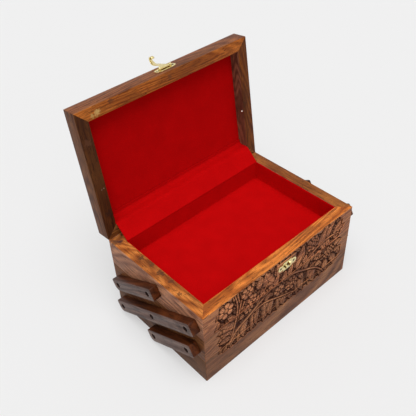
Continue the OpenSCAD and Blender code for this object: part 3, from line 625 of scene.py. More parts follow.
spray = under_leaves((24, 209), (31, 99), 8.2, 4) + [
    # leaves hanging along the foot
    *leaves(
        (37, 38, 24, 27, 8, 0.1), (45, 44, 35, 25, 10, -0.1), (52, 48, 45, 26, 10, 0.08),
        (60, 51, 55, 25, 12, -0.1), (69, 53, 66, 26, 12, 0.1), (78, 54, 75, 28, 9, -0.08),
        (88, 54, 85, 25, 15, 0.1, 4), (99, 50, 97, 26, 12, -0.1), (109, 46, 108, 25, 12, 0.1),
        (120, 42, 119, 25, 12, -0.12, 3), (127, 40, 130, 26, 10, 0.1), (139, 52, 140, 25, 12, 0.1),
        (149, 57, 150, 25, 13, -0.1), (159, 53, 160, 26, 11, 0.1), (168, 48, 170, 25, 14, -0.1, 3),
        (178, 40, 182, 25, 9, 0.1), (190, 46, 194, 26, 12, -0.1), (200, 47, 206, 28, 12, 0.1, 3),
        (206, 51, 216, 38, 9, 0.1)),
    # leaves inside the spray
    *leaves(
        (44, 56, 23, 68, 16, 0.12), (40, 47, 22, 55, 11, 0.1), (37, 40, 20, 43, 10, -0.1),
        (45, 67, 33, 75, 9, 0.1), (49, 60, 57, 58, 8, 0.1), (79, 62, 77, 76, 9, 0.1),
        (87, 56, 99, 61, 9, 0.1), (87, 65, 83, 81, 9, 0.1), (95, 68, 97, 79, 9, -0.1),
        (104, 67, 109, 82, 11, 0.12), (115, 64, 119, 80, 11, -0.1), (126, 67, 131, 82, 10, 0.1),
        (141, 63, 146, 75, 9, 0.1), (152, 57, 161, 67, 9, 0.12), (152, 68, 153, 80, 10, 0.1),
        (163, 75, 163, 62, 8, 0.1), (178, 79, 185, 66, 10, 0.1), (189, 80, 195, 66, 9, -0.1),
        (200, 80, 207, 66, 9, 0.1), (143, 56, 149, 44, 8, 0.1), (170, 50, 182, 47, 9, 0.1),
        (203, 58, 217, 62, 9, 0.12), (203, 51, 217, 51, 8, -0.1)),
    # small leaves at the left end
    *leaves(
        (25, 63, 17.5, 60, 5.5), (25, 75, 17, 73, 5.5), (24, 52, 17.5, 48, 5),
        (24, 34, 18.5, 30, 5)),
    # leaves along the head
    *leaves(
        (22, 79, 15, 70, 6), (21, 92, 17, 84, 5), (46, 83, 40, 101, 9, -0.14), (50, 84, 48, 102, 7),
        (54, 84, 59, 102, 7, 0.1), (66, 82, 71, 101, 10, 0.1), (77, 83, 80, 101, 12, -0.1),
        (101, 76, 88, 99, 18, 0.14, 4), (104, 82, 105, 101, 10, -0.1),
        (134, 72, 147, 99, 15, -0.12), (137, 69, 147, 84, 9, 0.12),
        (173, 80, 187, 101, 16, -0.12, 4), (188, 81, 200, 101, 11, 0.1),
        (199, 80, 212, 96, 10, -0.1), (206, 78, 218, 85, 8, 0.1)),
    # stems, from the foot of the spray at the lower left
    stem(2.4, (49, 66), (54, 76), (58, 84)),
    stem(2.8, (43, 54), (48, 66), (51, 79), (54, 91), (56, 100)),
    stem(3.2, (33, 30), (39, 44), (43, 57), (46, 70), (47, 84), (44, 99)),
    stem(2.4, (75, 60), (80, 68), (86, 75), (91, 82)),
    stem(3.0, (62, 52), (75, 54), (87, 54), (98, 50), (109, 45), (121, 40), (134, 35)),
    stem(3.6, (34, 32), (42, 42), (51, 48), (62, 52), (72, 57), (83, 62), (94, 67),
         (104, 67), (113, 63)),
    stem(2.4, (160, 54), (170, 56), (180, 57), (188, 57)),
    stem(3.0, (146, 61), (154, 69), (164, 75), (175, 79), (187, 80), (199, 79), (211, 75)),
    stem(3.6, (119, 66), (131, 66), (141, 62), (151, 57), (161, 52), (171, 46), (180, 38),
         (188, 28)),
    # flowers
    flower((31, 88), 11.0, 6, 0.3), flower((61, 91), 9.0, 6, 0.1), flower((68, 76), 7.5, 5, 0.5),
    flower((63, 65), 7.5, 6, 0.9), flower((110, 56), 8.5, 6, 0.2), flower((130, 52), 10.0, 8, 0.2),
    flower((130, 52), 6.4, 6, 0.5, 0.4), flower((163, 90), 11.0, 8, 0.1),
    flower((163, 90), 7.0, 6, 0.4, 0.38), flower((174, 64), 7.5, 6, 0.4),
    flower((195, 55), 10.0, 8, 0.3), flower((195, 55), 6.4, 6, 0.1, 0.4),
    # the catch's seat, and the hole behind its opening
    plain_patch((119.5, 90), (30, 14)), plain_patch((119.5, 90), (4.0, 4.4), -ground),
]


def carve_front(x, z):
    def field(a, b):
        return np.maximum(np.abs(a - 116) - 90, np.abs(b - 64) - 32)
    return carved(x * 1000 + 115, z * 1000, spray, field) / 1000


# each front's tint; the lower fronts are darker, a painted shade towards the bottom of the box
front_tints_and_shade = {"bottom_tray": (0.95, 0.93, 0.87), "middle_tray": (1.10, 1.04, 0.98),
               "top_tray": (1.50, 1.34, 1.10)}
carving_step, front_inside_r = 0.0004, 0.0005
# the heads of the two lower fronts have the painted lit colour only behind their face, out of sight
behind_face = -box_d / 2 + 0.0009
for tray, z0 in zip(tray_names, tiers):
    section = board_section(z0, z0 + tier_h, *tray_easing(tray), front_inside_r,
                            round(tier_h / carving_step))
    mesh = loft_board(f"{tray}_front", box_w / 2, section,
                      np.linspace(-1, 1, round(box_w / carving_step)), carve_front)
    set_round(mesh, "front")
    smooth_shade(mesh, 60)
    mesh.materials.append(sheesham(
        f"sheesham {tray.replace('_', ' ')} carved front", (1, 0, 0), logs.uniform(-2, 2, 3),
        front_tints_and_shade[tray], 0.46, carved=True, painted_away_tone=(0.88, 0.70),
        lit_behind=None if tray == "top_tray" else behind_face))
    piece = add_piece(f"{tray}_carved_front", mesh, tray)
    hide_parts(f"{tray}_front")

# ---------- Lid ----------
# The lid's frame is four mitred rails, grooved at the top for a carved panel. It is drawn shut and
# then stood open about the hinge line.
lid_h, lid_open, panel_t, panel_rebate = 0.019, math.radians(97), 0.0045, 0.004
lid_z = top_z + tier_gap
# the back rail's foot is square and comes down closer, so that no gap shows beside the cloth
back_rail_r, back_rail_drop = 0.00001, 0.00019
stand_open = (Matrix.Translation(hinge_line) @ Matrix.Rotation(-lid_open, 4, "X")
              @ Matrix.Translation(-hinge_line))
# each rail's tint, partly painted shade, and the (saturation, value) that paints light and shade on
# its faces that don't look along its rim
lid_tints_and_shade = {"front": ((1.00, 0.85, 0.62), (0.92, 0.58)),
                "back": ((0.55, 0.55, 0.55), (0.84, 0.90)),
                "left": ((0.23, 0.22, 0.24), (0.94, 1.75)),
                "right": ((0.40, 0.33, 0.22), (0.80, 1.30))}
# marks on the rim that meets the box: a pale knot at the front, a chip out of the left rail
lid_marks = {
    "front": ((-0.0902, -0.0682, 0.0034, (0.70, 0.45, 0.15)),
              (-0.0960, -0.0665, 0.0022, (0.62, 0.38, 0.12)),
              (-0.0730, -0.0735, 0.0030, (0.16, 0.050, 0.018)),
              (0.0020, -0.0700, 0.0030, (0.19, 0.060, 0.020))),
    "left": ((-0.1070, 0.0139, 0.0008, (0.36, 0.28, 0.22)),
             (-0.1044, 0.0136, 0.0007, (0.42, 0.34, 0.26)),
             (-0.1068, 0.0450, 0.0040, (0.035, 0.014, 0.008)),
             (-0.1085, -0.0420, 0.0040, (0.120, 0.045, 0.020)))}


def rail_section(foot_r, foot_z):
    """Like a tray board, but with its rebate at the head, for the carved panel."""
    head_z, seat_z = lid_z + lid_h, lid_z + lid_h - panel_t
    rows = [(foot_r * b, foot_z + foot_r * a, False) for a, b in arc(3)]
    rows += [(rim_r * a, head_z - rim_r * b, False) for a, b in arc(3)]
    rows += [(wall_t - panel_rebate, head_z, False), (wall_t - panel_rebate, seat_z, False),
             (wall_t, seat_z, False)]
    return rows + [(wall_t - rim_r / 2 * a, foot_z + rim_r / 2 * b, False) for a, b in arc(3)]


for side, (tint, painted_away_tone) in lid_tints_and_shade.items():
    node = f"lid_{side}_rail"
    section = rail_section(rim_r, lid_z)
    if side == "back":
        section = rail_section(back_rail_r, lid_z - back_rail_drop)
    mesh = loft_board(node, half_lengths[side], section, side_columns)
    set_round(mesh, side)
    piece = add_piece(f"{node}_eased", mesh, "lid")
    if side == "back":
        cut_away(piece, hinge_cutters(lid_z - 0.001,
                                      2 * hinge_line.z - top_z + back_drop + leaf_t))
    piece.data.transform(stand_open)
    smooth_shade(piece.data)
    along, rim_facing = (stand_open.to_3x3() @ Vector(v) for v in (grain_along[side], (0, 0, -1)))
    marks = [((x, *(stand_open @ Vector((0, y, lid_z))).yz), radius, colour)
             for x, y, radius, colour in lid_marks.get(side, ())]
    refinish(piece.data, sheesham(f"sheesham lid {side} rail", along, logs.uniform(-2, 2, 3), tint,
                                  painted_lit_facing=rim_facing, painted_away_tone=painted_away_tone, knots=marks))
    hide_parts(node)

# ---------- Carved lid panel ----------
# The outside of the panel isn't in the photograph. It is carved in the style of the front: a large
# flower in the middle, with sprays of flowers and leaves that mirror to all four corners.
panel_half = (inner_w + panel_rebate, inner_d + panel_rebate)
corner_spray = under_leaves((4, 92), (4, 52), 9.5, 8) + [
    *leaves(
        (20, 13, 30, 4, 9, 0.1), (9, 6, 3, 20, 8, 0.1), (30, 27, 20, 24, 8, 0.1),
        (50, 15, 56, 3, 9, 0.1), (76, 15, 88, 12, 8), (85, 26, 92, 18, 8, 0.1),
        (66, 42, 72, 30, 9, 0.1), (76, 40, 74, 52, 9, 0.1), (30, 30, 34, 44, 9, -0.1),
        (36, 44, 32, 52, 8, 0.1), (84, 47, 90, 52, 8), (14, 52, 22, 50, 7),
        (36, 18, 46, 3, 12, 0.12, 3), (26, 20, 14, 34, 12, -0.1), (56, 14, 66, 30, 12, -0.12, 3),
        (44, 38, 42, 53, 11, 0.1), (60, 42, 63, 54, 12, 0.1, 3), (66, 11, 69, -1, 10, 0.1)),
    stem(2.8, (20, 13), (30, 27), (44, 38), (60, 42), (78, 39)),
    stem(3.4, (8, 3), (20, 13), (34, 18), (50, 15), (64, 11), (76, 15), (85, 26)),
    flower((46, 28), 8.5, 6, 0.2), flower((84, 39), 9.0, 8, 0.2),
    flower((84, 39), 5.6, 6, 0.4, 0.4), flower((27, 46), 8.0, 6, 0.4),
    flower((86, 3), 8.0, 8, 0.2), flower((0, 42), 9.0, 8, 0.2), flower((0, 0), 15.0, 12, 0.0, 0.2),
    flower((0, 0), 10.0, 8, 0.2, 0.3),
]


def carve_panel(x, y):
    def field(a, b):
        return np.maximum(a - 92, b - 52)
    return carved(np.abs(x) * 1000, np.abs(y) * 1000, corner_spray, field) / 1000


def grid_faces(across, up):
    """Faces between a grid's points, which are numbered row by row."""
    i, j = (a.ravel() for a in np.meshgrid(np.arange(across - 1), np.arange(up - 1)))
    a = j * across + i
    return np.stack([a, a + 1, a + across + 1, a + across], -1)


def grid_rim(across, up):
    """Numbers of the points round a grid's edge."""
    return ([k for k in range(across)] + [k * across + across - 1 for k in range(1, up)]
            + [(up - 1) * across + k for k in range(across - 2, -1, -1)]
            + [k * across for k in range(up - 2, 0, -1)])


def relief_slab(name, half, z_low, z_high, step, carve):
    """A flat slab whose upper face is carved."""
    across, up = (round(2 * h / step) + 1 for h in half)
    x, y = np.meshgrid(np.linspace(-half[0], half[0], across),
                       np.linspace(-half[1], half[1], up))
    depth = carve(x, y)
    top = np.stack([x, y, z_high - depth], -1).reshape(-1, 3)
    rim = grid_rim(across, up)
    foot = [(top[i][0], top[i][1], z_low) for i in rim]
    n, first = len(rim), len(top)
    faces = grid_faces(across, up).tolist()
    faces += [(rim[k], first + k, first + (k + 1) % n, rim[(k + 1) % n]) for k in range(n)]
    faces.append([first + k for k in range(n)][::-1])
    mesh = bpy.data.meshes.new(name)
    mesh.from_pydata(np.concatenate([top, foot]).tolist(), [], faces)
    mark_cuts(mesh, np.concatenate([depth.ravel(), np.zeros(n)]))
    return mesh


panel_step = 0.0006
mesh = relief_slab("lid_panel", panel_half, lid_z + lid_h - panel_t, lid_z + lid_h, panel_step,
                   carve_panel)
mesh.transform(stand_open)
smooth_shade(mesh, 60)
mesh.materials.append(sheesham(
    "sheesham carved lid panel", (1, 0, 0), logs.uniform(-2, 2, 3), (0.96, 0.92, 0.92), 0.42,
    carved=True, painted_lit_facing=stand_open.to_3x3() @ Vector((0, 0, -1)), painted_away_tone=(0.88, 0.80)))
piece = add_piece("lid_carved_panel", mesh, "lid")
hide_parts("lid_panel")

# ---------- Velvet linings ----------
# Short red velvet is glued to the walls of each tray, and covers a padded card on each floor. Its
# pile catches the light unevenly where a hand has brushed it.
velvet_t, pad_t, pad_rise, pad_edge = 0.0012, 0.0035, 0.0018, 0.0012
# how far below their heads the cloth of the two lower trays ends
joint_drop = 0.0005


def velvet(name, colour):
    finish = bpy.data.materials.new(name)
    tree = new_tree(finish)
    place = add_node(tree, "ShaderNodeTexCoord")
    brushed = add_noise(tree, (place, "Object"), 55.0, 3.0)
    pile = add_noise(tree, (place, "Object"), 1500.0, 2.0)
    tone = reckon(tree, "MULTIPLY", spread(tree, brushed, 0.3, 0.7, 0.95, 1.05),
                  spread(tree, pile, 0.3, 0.7, 0.88, 1.12))
    finish_surface(tree, pile, 0.35, 0.0003,
                   Base_Color=mix_colours(tree, 1.0, colour, tone, "MULTIPLY"), Roughness=0.9,
                   Specular_IOR_Level=0.0, Sheen_Weight=0.10, Sheen_Roughness=0.45,
                   Sheen_Tint=(1.0, 0.05, 0.05, 1))
    return finish


red_velvet = velvet("red velvet", (0.54, 0.0028, 0.0036))


def soft_noise(x, y, seed):
    """Slow waves, about 1 high, for cloth that is never quite flat."""
    draw = np.random.default_rng(seed)
    total = 0
    for _ in range(9):
        k, phase = draw.normal(0, 90, 2), draw.uniform(0, 6.3)
        total = total + np.sin(k[0] * x + k[1] * y + phase)
    return total / 4


def lining_ring(name, z0, z1, seed):
    """Cloth round the four walls, with a soft rolled upper edge."""
    corners, path = [(-1, -1), (1, -1), (1, 1), (-1, 1)], []
    for k in range(4):
        a, b = corners[k], corners[(k + 1) % 4]
        steps = 60 if k % 2 == 0 else 38
        path += [(a[0] + (b[0] - a[0]) * i / steps, a[1] + (b[1] - a[1]) * i / steps)
                 for i in range(steps)]
    x, y = np.array(path).T
    # the waves die out towards the corners and the edge
    ends = np.minimum(1, 6 * (1 - np.abs(np.where(np.abs(x) == 1, y, x))))
    lip, wave_h = 0.0005, 0.00010
    rows = [(0.0, z0), (0.0, z1 - lip)]
    rows += [(velvet_t / 2 * (1 - math.cos(a)), z1 - lip + lip * math.sin(a))
             for a in (math.pi * i / 6 for i in range(1, 6))]
    rows += [(velvet_t, z1 - lip - (z1 - lip - z0) * i / 8) for i in range(9)]
    places = []
    for inset, height in rows:
        wave = soft_noise(x * inner_w + y * inner_d, np.full(len(x), height), seed)
        wave = wave_h * wave * (inset / velvet_t)
        reach = inset + wave * ends * (height < z1 - 0.002)
        places.append(np.stack([x * (inner_w - reach), y * (inner_d - reach),
                                np.full(len(x), height)], -1))
    n, m = len(x), len(rows)
    faces = [(a + k, a + (k + 1) % n, b + (k + 1) % n, b + k)
             for a, b in ((i * n, (i + 1) % m * n) for i in range(m)) for k in range(n)]
    mesh = bpy.data.meshes.new(name)
    mesh.from_pydata(np.concatenate(places).tolist(), [], faces)
    face_outwards(mesh)
    return mesh


def doubled_sheet(name, top, low, across, up):
    """A closed sheet between two grids of points."""
    faces, rim = grid_faces(across, up), grid_rim(across, up)
    top, low, count = top.reshape(-1, 3), low.reshape(-1, 3), across * up
    mesh = bpy.data.meshes.new(name)
    mesh.from_pydata(np.concatenate([top, low]).tolist(), [],
                     faces.tolist() + (faces[:, ::-1] + count).tolist()
                     + [(a, count + a, count + b, b) for a, b in zip(rim, rim[1:] + rim[:1])])
    face_outwards(mesh)
    return mesh


def pad_mesh(name, half, base_z, thick, edge_rise, edge_w, seed, facing=1):
    """A covered card. Round its edges the cloth is pushed up against the walls (edge_rise over 0)
    or drawn down (below 0), over the width edge_w."""
    across, up = 150, 100
    x, y = np.meshgrid(half[0] * np.sin(np.linspace(-1, 1, across) * math.pi / 2),
                       half[1] * np.sin(np.linspace(-1, 1, up) * math.pi / 2))
    edge = np.exp(-np.minimum(half[0] - np.abs(x), half[1] - np.abs(y)) / edge_w)
    rise = 0.96 * thick + edge_rise * edge + 0.00012 * soft_noise(x, y, seed) * (1 - edge)
    return doubled_sheet(name, np.stack([x, y, base_z + facing * rise], -1),
                         np.stack([x, y, np.full(x.shape, base_z)], -1), across, up)


for number, (tray, z0) in enumerate(zip(tray_names, tiers)):
    head = z0 + tier_h - (back_drop if tray == "top_tray" else joint_drop)
    mesh = lining_ring(f"{tray}_lining", z0 + floor_t, head, number)
    smooth_shade(mesh, 50)
    mesh.materials.append(red_velvet)
    piece = add_piece(f"{tray}_wall_velvet", mesh, tray)
    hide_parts(f"{tray}_velvet")
    mesh = pad_mesh(f"{tray}_pad", (inner_w - velvet_t, inner_d - velvet_t), z0 + floor_t, pad_t,
                    pad_rise, pad_edge, 20 + number)
    smooth_shade(mesh, 60)
    mesh.materials.append(red_velvet)
    piece = add_piece(f"{tray}_floor_pad", mesh, tray)
    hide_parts(f"{tray}_velvet")

# ---------- Velvet in the lid ----------
# A card covered with the same velvet, drawn down round its edges, is glued to the inside of the
# lid's panel.
card_fall, card_edge = -0.0006, 0.0010
mesh = pad_mesh("lid_pad", (inner_w, inner_d), lid_z + lid_h - panel_t, velvet_t, card_fall,
                card_edge, 31, facing=-1)
mesh.transform(stand_open)
smooth_shade(mesh, 60)
mesh.materials.append(red_velvet)
piece = add_piece("lid_velvet_card", mesh, "lid")
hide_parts("lid_velvet")

# ---------- Hinge cloth ----------
# A strip of the velvet is glued over the top tray's rear edge, along the lid's back rail and up
# onto the lid's card. It hides the hinges, and is drawn taut by the open lid.
cloth_t, cloth_air, low_bend, high_bend = 0.0008, 0.0004, 0.0022, 0.0052
cloth_half = inner_w - cloth_air
# how far it starts inside the board and above it, and how far it laps onto the card
cloth_lead, cloth_lift, cloth_lap = 0.0012, 0.00015, 0.0075


def opened(y, z):
    """A place on the shut lid, as (y, z) where it is with the lid open."""
    there = stand_open @ Vector((0, y, z))
    return np.array([there.y, there.z])


card_z = lid_z + lid_h - panel_t - velvet_t - cloth_air
cloth_start = np.array([inner_d - cloth_lead, top_z - back_drop + cloth_lift])
cloth_bend = opened(inner_d - cloth_air, lid_z - cloth_air)
corners = np.array([cloth_start, cloth_bend, opened(inner_d - cloth_air, card_z),
                    opened(inner_d - cloth_lap, card_z)])
reaches = np.concatenate([[0], np.cumsum(np.linalg.norm(np.diff(corners, axis=0), axis=1))])
cloth_length = reaches[-1]


def cloth_line(s):
    """Place on the strip's underside at a length along it, eased over its two bends."""
    ease_by = low_bend if s < (reaches[1] + reaches[2]) / 2 else high_bend
    ease_by *= min(1, s / ease_by, (cloth_length - s) / ease_by)
    span = s + np.linspace(-ease_by, ease_by, 11)
    return np.array([np.interp(span, reaches, corners[:, k]).mean() for k in (0, 1)])


def square_to(line):
    """Unit directions square to a line of points."""
    tangent = np.gradient(line, axis=0)
    tangent /= np.linalg.norm(tangent, axis=1)[:, None]
    return np.stack([-tangent[:, 1], tangent[:, 0]], -1)


lengths = np.linspace(0, cloth_length, 60)
line = np.array([cloth_line(s) for s in lengths])
across = np.linspace(-cloth_half, cloth_half, 150)
out = square_to(line)
slack = (np.sin(np.pi * lengths / cloth_length)[:, None]
         * (0.00018 * soft_noise(across[None, :], 0.4 * lengths[:, None], 77)))
layers = []
for lift in (slack, cloth_t + slack):
    y, z = (line[:, k][:, None] + out[:, k][:, None] * lift for k in (0, 1))
    layers.append(np.stack([np.broadcast_to(across, y.shape), y, z], -1))
mesh = doubled_sheet("hinge_cloth_strip", *layers, len(across), len(line))
smooth_shade(mesh, 60)
mesh.materials.append(red_velvet)
cloth = add_piece("hinge_cloth_strip", mesh, None)
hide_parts("hinge_cloth")
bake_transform(cloth)

# ---------- Arms ----------
# Each side has three arms of sheesham stained nearly black. Their flat outer faces are painted
# paler and greyer, a painted reflection, and a counterbored hole for a screw goes through at each
# pivot, painted black inside as painted shade.
arm_easing, arm_slope = 0.0004, math.radians(29.5)


def eased(node, name, body, width):
    """A copy of a solid whose arrises are worked round."""
    form = bmesh.new()
    form.from_mesh(solids[node].data)
    bmesh.ops.remove_doubles(form, verts=form.verts, dist=2e-6)
    bmesh.ops.dissolve_limit(form, angle_limit=math.radians(0.6), verts=form.verts,
                             edges=form.edges)
    round_arrises(form, 30, width)
    mesh = bpy.data.meshes.new(name)
    form.to_mesh(mesh)
    form.free()
    smooth_shade(mesh, 40)
    piece = add_piece(name, mesh, body)
    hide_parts(node)
    return piece


def round_arrises(form, angle, width):
    """Rounds the edges where the surface turns by more than angle degrees."""
    sharp = [e for e in form.edges if e.is_manifold and e.calc_face_angle() > math.radians(angle)]
    bmesh.ops.bevel(form, geom=sharp, offset=width, segments=2, profile=0.5, affect="EDGES",
                    clamp_overlap=True)


def arm_stain_and_light(pivots):
    """Nearly black stain, with a painted grey-brown reflection on the two flat faces that look
    along
    X, and painted black shade in the holes at the pivots (y, z)."""
    def stain(tree, place, wood):
        parts = add_node(tree, "ShaderNodeSeparateXYZ", {0: (place, "Normal")})
        # painted reflection: the flat faces that look along X are painted grey-brown
        painted_reflection = spread(tree, reckon(tree, "ABSOLUTE", (parts, "X")), 0.75, 0.97)
        tone = mix_colours(tree, painted_reflection, (0.215, 0.090, 0.034), (0.405, 0.405, 0.440))
        colour = mix_colours(tree, 1.0, wood, tone, "MULTIPLY")
        flat_place = add_node(tree, "ShaderNodeMapping", {0: (place, "Object"), "Scale": (0, 1, 1)})
        # painted shade: black inside each counterbored hole
        for y, z in pivots:
            away = add_vectors(tree, "DISTANCE", (flat_place, 0), (0, y, z), "Value")
            inside = spread(tree, away, 0.0034, 0.0029)
            colour = mix_colours(tree, inside, colour, (0.010, 0.006, 0.005))
        return colour
    return stain


arm_along = (0, -math.cos(arm_slope), math.sin(arm_slope))
# (y, z) of each arm's pivots, from its foot
arm_pivots = {"upper": ((0.0565, 0.053), (-0.001, 0.0855)),
              "long": ((0.0545, 0.0185), (-0.003, 0.051), (-0.0605, 0.0835)),
              "lower": ((-0.001, 0.015), (-0.0585, 0.0475))}
for side in ("left", "right"):
    for kind, pivots in arm_pivots.items():
        node = f"{kind}_arm_{side}"
        piece = eased(node, f"{node}_eased", node, arm_easing)
        piece.data.materials.append(sheesham(
            f"stained {kind} arm {side}", arm_along, logs.uniform(-2, 2, 3), (1.0, 1.0, 1.0), 0.42,
            painted_lit_facing=(0, 0, 0), painted_away_tone=(0.60, 1.0), stain=arm_stain_and_light(pivots)))

# ---------- Brass ----------
# The latch's plate, the catch and the hinges are thin brass sheet, polished and lightly tarnished,
# with their stamped edges rolled over a little. The catch has an opening for the hook's curl.


def metal(name, colour, dull, low, high):
    """Brushed metal; dull is its colour where it has tarnished, low and high its roughness."""
    finish = bpy.data.materials.new(name)
    tree = new_tree(finish)
    place = add_node(tree, "ShaderNodeTexCoord")
    tarnish = add_noise(tree, (place, "Object"), 420.0, 4.0)
    rubbed_and_highlight = add_node(tree, "ShaderNodeMapping",
                      {0: (place, "Object"), "Scale": (400, 4000, 4000)})
    finish_surface(tree, add_noise(tree, (rubbed_and_highlight, 0), 1.0, 2.0), 0.12, 0.0001, Metallic=1.0,
                   Base_Color=mix_colours(tree, spread(tree, tarnish, 0.45, 0.75), colour, dull),
                   Roughness=spread(tree, tarnish, 0.3, 0.7, low, high))
    return finish


brass = metal("brass", (0.84, 0.71, 0.36), (0.50, 0.38, 0.15), 0.18, 0.34)
latch_x, latch_axis_y, latch_axis_z = 0.0045, -box_d / 2 - 0.0022, lid_z + 0.0095
catch_z, plate_t = 0.090, 0.0008
plate_roll, leaf_roll = 0.00022, 0.00018
opening_half_w, before_plate, behind_plate = 0.0020, -0.090, -0.070
for node, body, width in (("latch_plate", "lid", plate_roll),
                          ("catch_plate", "top_tray", plate_roll),
                          ("tray_hinge_leaves", "top_tray", leaf_roll),
                          ("lid_hinge_leaves", "lid", leaf_roll)):
    piece = eased(node, f"{node}_rolled", body, width)
    if node == "catch_plate":
        # the opening is a slot through the plate, and longer where it stands out as two lips
        cut_away(piece, [((latch_x - opening_half_w, before_plate, catch_z - half_h),
                          (latch_x + opening_half_w, to_y, catch_z + half_h))
                         for half_h, to_y in ((0.0022, behind_plate),
                                              (0.0040, -box_d / 2 - plate_t))])
        smooth_shade(piece.data, 40)
    refinish(piece.data, brass)
for node in ("latch_pin", "hinge_pins", "tray_hinge_screws", "lid_hinge_screws"):
    refinish(solids[node].data, brass)

# ---------- Latch hook ----------
# A strip of brass rolled round the latch's pin. It narrows, bows out over the catch and curls in
# below, and hangs thrown back over the edge of the open lid.
hook_open, barrel_r, pin_r, strip_t, barrel_lip = math.radians(165), 0.0017, 0.00074, 0.0012, 0.0002
hook_w, bow_w, tip_w, barrel_sides = 0.0104, 0.0046, 0.0034, 32
# (out from the pin, down from it), as the hook hangs shut, in millimetres
hook_bends = [(1.05, 0.6), (1.3, 3.8), (2.3, 8.0), (4.3, 12.2), (6.1, 15.6), (6.7, 18.8),
              (5.9, 21.9), (3.9, 23.9), (1.6, 24.0), (0.0, 22.5), (-0.3, 20.6), (0.6, 19.2)]
path = smooth_path(hook_bends) / 1000
# the strip narrows below its barrel to the bow's width, and before the curl to the tip's
narrowed = np.maximum.accumulate(ease(0.0022, 0.0085, path[:, 1]))
tapered = ease(0.48, 0.62, np.linspace(0, 1, len(path)))
half_width = (hook_w + (bow_w - hook_w) * narrowed + (tip_w - bow_w) * tapered) / 2
form = bmesh.new()
rings = []
for (u, h), (nu, nh), w in zip(path, square_to(path) * strip_t / 2, half_width):
    rings.append([form.verts.new((x, -(u + side * nu), -(h + side * nh)))
                  for x, side in ((-w, -1), (w, -1), (w, 1), (-w, 1))])
for a, b in zip(rings[:-1], rings[1:]):
    for k in range(4):
        form.faces.new((a[k], a[(k + 1) % 4], b[(k + 1) % 4], b[k]))
form.faces.new(rings[0][::-1])
form.faces.new(rings[-1])
bmesh.ops.recalc_face_normals(form, faces=form.faces)
round_arrises(form, 50, 0.00028)
turns = [2 * math.pi * k / barrel_sides for k in range(barrel_sides)]
barrel = [[form.verts.new((side * (hook_w / 2 - inset), r * math.cos(a), r * math.sin(a)))
           for a in turns]
          for side, inset, r in ((-1, 0, pin_r), (-1, 0, barrel_r - barrel_lip),
                                 (-1, barrel_lip, barrel_r), (1, barrel_lip, barrel_r),
                                 (1, 0, barrel_r - barrel_lip), (1, 0, pin_r))]
shell = [form.faces.new((a[k], a[(k + 1) % barrel_sides], b[(k + 1) % barrel_sides], b[k]))
         for a, b in zip(barrel, barrel[1:] + barrel[:1]) for k in range(barrel_sides)]
bmesh.ops.recalc_face_normals(form, faces=shell)
mesh = bpy.data.meshes.new("hook_strip")
form.to_mesh(mesh)
form.free()
mesh.transform(stand_open @ Matrix.Translation((latch_x, latch_axis_y, latch_axis_z))
               @ Matrix.Rotation(-hook_open, 4, "X"))
smooth_shade(mesh, 40)
mesh.materials.append(brass)
piece = add_piece("latch_hook_curled", mesh, "latch_hook")
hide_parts("latch_hook")

# ---------- Screws ----------
# Each arm turns on slotted steel screws with round heads, sunk in their counterbores. Smaller
# countersunk ones hold the latch and the catch, and a nail shows in each side rail of the lid.
steel = metal("dark steel", (0.040, 0.034, 0.030), (0.018, 0.015, 0.013), 0.35, 0.55)
pale_steel = metal("pale steel", (0.62, 0.58, 0.52), (0.42, 0.37, 0.30), 0.25, 0.40)


